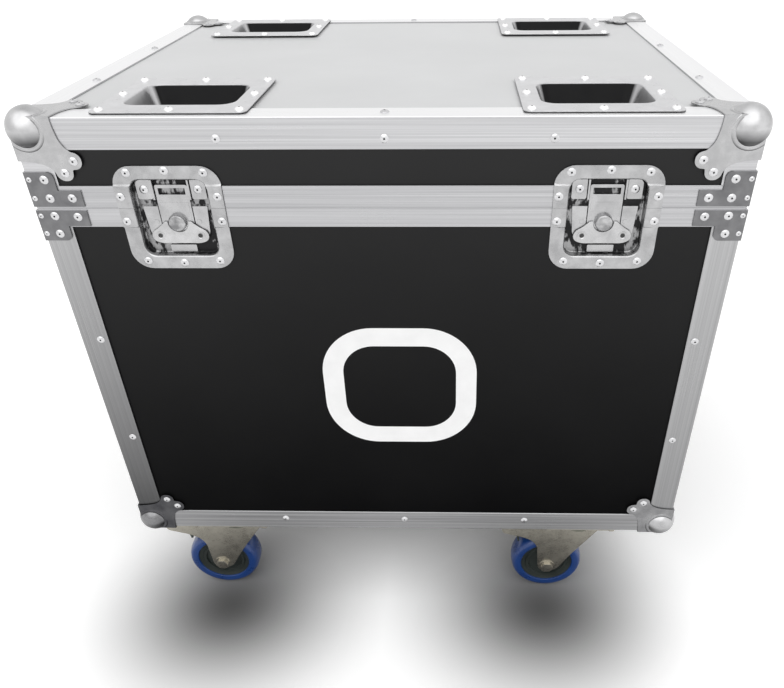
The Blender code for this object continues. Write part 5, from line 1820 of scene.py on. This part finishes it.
    def fork(self, crown_low: float, braked: bool) -> Mesh:
        """Fork with its crown, and the washers and nuts of its axle bolt.

        Args:
            crown_low: Height of the crown's underside.
            braked: Whether it carries a brake pedal.

        Returns:
            Closed meshes, with material 1 on the crown.
        """
        outer = self.fork_inner + self.fork_t
        blank = Blank(tuple(self.side_plate(crown_low)), self.fork_rounds, self.fork_t, 6)
        shapes = []
        for side in (-1, 1):
            shapes.append(put(blank.plate(min(side * self.fork_inner, side * outer), 0.0006, 3), STANDING))
            washer = spun([(self.axle, 0.0), (self.washer, 0.0), (self.washer - 0.0003, 0.0012),
                           (self.axle, 0.0012)], 32)
            nut = soften(rod(self.nut, 0.0, self.nut_height, 6), 0.0006)
            for shape, out in ((washer, outer), (nut, outer + 0.0008)):
                face_out = Matrix.Translation((-self.offset, side * out, self.wheel))
                shapes.append(put(shape, face_out @ Matrix.Rotation(-side * math.pi / 2, 4, "X")))
        shapes.append(self.bridge.plate(crown_low + self.bridge_up, 0.0005))
        crown = [(self.crown_r - inside, up) for inside, up in self.crown_round]
        crown = mark(spun([(self.kingpin_bore, 0.0), *crown, (self.kingpin_bore, self.crown_t)], 48))
        shapes.append(put(crown, Matrix.Translation((0.0, 0.0, crown_low))))
        if braked:
            for radius, out, back, steps, soft in ((self.pin, self.pin_out, self.pedal_back, 20, 0.0005),
                                                   (self.stud, self.stud_out, self.stud_back, 16, 0.0004)):
                place = Matrix.Translation((-back, 0.0, crown_low - self.pedal_drop)) @ ALONG_Y
                shapes.append(put(soften(rod(radius, -outer - out, outer + out, steps), soft), place))
        return gather(shapes)

    def pedal(self) -> Mesh:
        """Brake pedal, drawn round its pivot as (x, z), with material 1 on its hooked spring.

        Returns:
            Closed meshes.
        """
        line = self.lever_line
        points = line + tuple((x + 0.0002, y - self.lever_t) for x, y in reversed(line))
        lever = Blank(points, self.lever_rounds + self.lever_rounds[::-1], 2 * self.pedal_half)
        barrel = rod(self.barrel, -self.pedal_half, self.pedal_half, 24, self.barrel_bore)
        return gather([put(lever.plate(-self.pedal_half, 0.0005), STANDING),
                       put(soften(barrel, 0.0004), ALONG_Y),
                       mark(put(self.tab.plate(-self.tab.thickness / 2, 0.0004), STANDING))])

    def top_plate(self, top: float, race_low: float) -> Mesh:
        """Top plate with its ball race, drawn round the swivel axis from the floor.

        Args:
            top: Height of the plate's top.
            race_low: Height of the race's underside.

        Returns:
            Closed meshes, with material 1 on the race.
        """
        under = top - self.plate_t
        flat = rounded_face(self.plate_width, self.plate_depth, self.plate_corner, 6)
        plate = soften(thicken(flat, under, top), 0.0006, 3)
        race = [(radius, race_low + up) for radius, up in self.race] + [(self.race_top, under), (0.0, under)]
        kingpin = [(radius, race_low + up) for radius, up in self.kingpin]
        shapes = [plate, mark(spun(race, 48)), spun(kingpin, 24)]
        x, y = self.bolt_places
        for across, along in ((-x, -y), (-x, y), (x, -y), (x, y)):
            bolt = soften(rod(self.bolt, -self.bolt_height, 0.0, 6), 0.0006)
            shapes.append(put(bolt, Matrix.Translation((across, along, under))))
        return gather(shapes)

    def build(self, shop: Workshop) -> None:
        """Make the four casters.

        Args:
            shop: Where the pieces are made.
        """
        for end, side in CORNERS:
            name = "{}_{}".format(end, side)
            plate, fork, pedal = "caster_plate_" + name, "caster_fork_" + name, "brake_pedal_" + name
            x, y, _ = middle(plate)
            seat = Matrix.Translation((x, y, 0.0))
            crown_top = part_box(fork)[1].z
            crown_low = crown_top - self.crown_t
            braked = end == "front"
            shape = put(self.top_plate(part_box(plate)[1].z, crown_top + self.play), seat)
            shop.piece(plate + "_race", shape, [ZINC, GREEN_ZINC], "case", (plate,))
            shape = put(self.fork(crown_low, braked), seat)
            shop.piece(fork + "_pressed", shape, [ZINC, GREEN_ZINC], "fork_" + name, (fork,))
            axle = Matrix.Translation((x - self.offset, y, self.wheel)) @ ALONG_Y
            shop.piece("caster_tyre_" + name, put(self.tyre(), axle), [BLUE_TYRE], "wheel_" + name,
                       ("caster_wheel_" + name,))
            shop.piece("caster_core_" + name, put(self.core(), axle), [WHEEL_CORE], "wheel_" + name)
            if braked:
                pivot = Matrix.Translation((x - self.pedal_back, y, crown_low - self.pedal_drop))
                shop.piece(pedal + "_pressed", put(self.pedal(), pivot), [ZINC, GREEN_ZINC], "brake_" + name,
                           (pedal,))


@dataclass(frozen=True)
class Sun:
    """Distant soft light: where it shines from, the angle in degrees that it fills and its irradiance."""

    name: str
    place: tuple[float, float, float]
    spread: float
    strength: float


@dataclass
class Studio:
    """Pale floor, soft lights and the camera that took the photograph."""

    camera_x: float = 0.0679
    camera_out: float = 0.6619
    camera_up: float = 0.7168
    turn: tuple[float, float, float] = (0.9743, 0.0087, 0.0202)
    focal_px: float = 709.51
    centre_px: Point = (441.14, 363.67)
    picture_px: tuple[int, int] = (784, 688)
    sensor_mm: float = 36.0
    world_light: float = 0.55
    floor_radius: float = 12.0
    floor_colour: float = 0.97
    floor_seen: float = 1.25
    # painted shadows: soft dark pools round the casters, put into the floor's colour; the back ones are
    # smaller
    shadow_darkness: float = 0.92
    shadow_centres_x: Point = (-0.258, 0.193)
    back_shadow_in: float = 0.0445
    front_shadow_ahead: float = 0.012
    shadow_reach: Point = (0.26, 0.225)
    back_shadow_size: float = 0.65
    suns: tuple[Sun, ...] = (Sun("key", (-0.5, -1.3, 2.0), 80.0, 1.3),
                             Sun("fill", (1.3, -0.8, 1.3), 90.0, 0.5))

    def build(self) -> None:
        """Set the studio up."""
        self.set_camera()
        self.set_world()
        self.set_floor()
        for sun in self.suns:
            self.hang(sun)

    def set_camera(self) -> None:
        """Place the camera as the photograph was taken."""
        width, height = self.picture_px
        lens = bpy.data.cameras.new("camera")
        lens.sensor_width = self.sensor_mm
        lens.lens = self.focal_px * self.sensor_mm / width
        lens.shift_x = (width / 2 - self.centre_px[0]) / width
        lens.shift_y = (self.centre_px[1] - height / 2) / width
        camera = bpy.data.objects.new("camera", lens)
        camera.location = (self.camera_x, CASE.front - self.camera_out, CASE.base + self.camera_up)
        camera.rotation_euler = self.turn
        bpy.context.scene.collection.objects.link(camera)
        bpy.context.scene.camera = camera
        bpy.context.scene.view_settings.view_transform = "Standard"

    def set_world(self) -> None:
        """Light everything softly, with a white background for the camera and for reflections."""
        world = bpy.data.worlds.new("studio")
        world.use_nodes = True
        bpy.context.scene.world = world
        tree = world.node_tree
        background = tree.nodes["Background"]
        background.inputs["Color"].default_value = (1.0, 1.0, 1.0, 1.0)
        seen = self.seen(tree)
        strength = tree.nodes.new("ShaderNodeMapRange")
        strength.inputs["To Min"].default_value = self.world_light
        strength.inputs["To Max"].default_value = 1.0
        tree.links.new(seen, strength.inputs["Value"])
        tree.links.new(strength.outputs["Result"], background.inputs["Strength"])

    def seen(self, tree: bpy.types.NodeTree) -> Socket:
        """One where the camera sees a surface itself or through a reflection or glass.

        Args:
            tree: Tree that holds the nodes.

        Returns:
            Value output.
        """
        path = tree.nodes.new("ShaderNodeLightPath")
        result = path.outputs[RAYS_SEEN[0]]
        for ray in RAYS_SEEN[1:]:
            larger = tree.nodes.new("ShaderNodeMath")
            larger.operation = "MAXIMUM"
            tree.links.new(result, larger.inputs[0])
            tree.links.new(path.outputs[ray], larger.inputs[1])
            result = larger.outputs["Value"]
        return result

    def set_floor(self) -> None:
        """Lay a pale floor that keeps the case's shadow, with painted shadow pools round the casters darkened
        into its colour.
        """
        shape = bmesh.new()
        bmesh.ops.create_circle(shape, cap_ends=True, segments=64, radius=self.floor_radius)
        mesh = bpy.data.meshes.new("floor")
        shape.to_mesh(mesh)
        shape.free()
        floor = bpy.data.objects.new("floor", mesh)
        bpy.context.scene.collection.objects.link(floor)
        shader = Shader("pale_floor")
        lit = shader.spread(self.seen(shader.tree), 0.0, 1.0, self.floor_colour, self.floor_seen)
        # painted shadow: the pools darken the floor's colour round each caster
        painted_shadows: object = 0.0
        for x in self.shadow_centres_x:
            for y, size in ((CASE.front - self.front_shadow_ahead, 1.0), (CASE.back - self.back_shadow_in, self.back_shadow_size)):
                painted_shadows = shader.calc("MAXIMUM", painted_shadows, self.pool(shader, x, y, size))
        tone = shader.calc("MULTIPLY", lit, shader.spread(painted_shadows, 0.0, 1.0, 1.0, 1.0 - self.shadow_darkness))
        shader.put(Base_Color=tone, Roughness=0.9, Specular_IOR_Level=0.1)
        mesh.materials.append(shader.material)

    def pool(self, shader: Shader, x: float, y: float, size: float) -> Socket:
        """Painted shadow: a soft dark pool round a caster, darkened into the floor's colour.

        Args:
            shader: Material of the floor.
            x: Where its middle lies along X.
            y: Where its middle lies along Y.
            size: Share of the full reach.

        Returns:
            Value output, 1 in the middle and 0 past the pool's reach.
        """
        total: object = 0.0
        for name, centre, reach in (("X", x, self.shadow_reach[0]), ("Y", y, self.shadow_reach[1])):
            away = shader.calc("DIVIDE", shader.calc("SUBTRACT", shader.axis(name), centre), reach * size)
            total = shader.calc("ADD", total, shader.calc("MULTIPLY", away, away))
        near = shader.spread(shader.calc("SQRT", total), 0.0, 1.0, 1.0, 0.0)
        near.node.interpolation_type = "SMOOTHSTEP"
        return near

    def hang(self, sun: Sun) -> None:
        """Add a distant soft light that lights the floor evenly.

        Args:
            sun: What it is like.
        """
        light = bpy.data.lights.new(sun.name, "SUN")
        light.angle = math.radians(sun.spread)
        light.energy = sun.strength
        lamp = bpy.data.objects.new(sun.name, light)
        lamp.location = sun.place
        lamp.rotation_euler = (-Vector(sun.place)).to_track_quat("-Z", "Y").to_euler()
        bpy.context.scene.collection.objects.link(lamp)


def main() -> None:
    """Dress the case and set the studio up."""
    logging.basicConfig(level=logging.INFO, format="%(message)s")
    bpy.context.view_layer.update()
    shop = Workshop()
    for kind in (Boards, Edging, Braces, BallCorner, Latch, StackingCup, Hinge, Handle, Caster):
        part = kind()
        part.build(shop)
        LOG.info("finished %s", type(part).__name__)
    Studio().build()


if __name__ == "__main__":
    main()
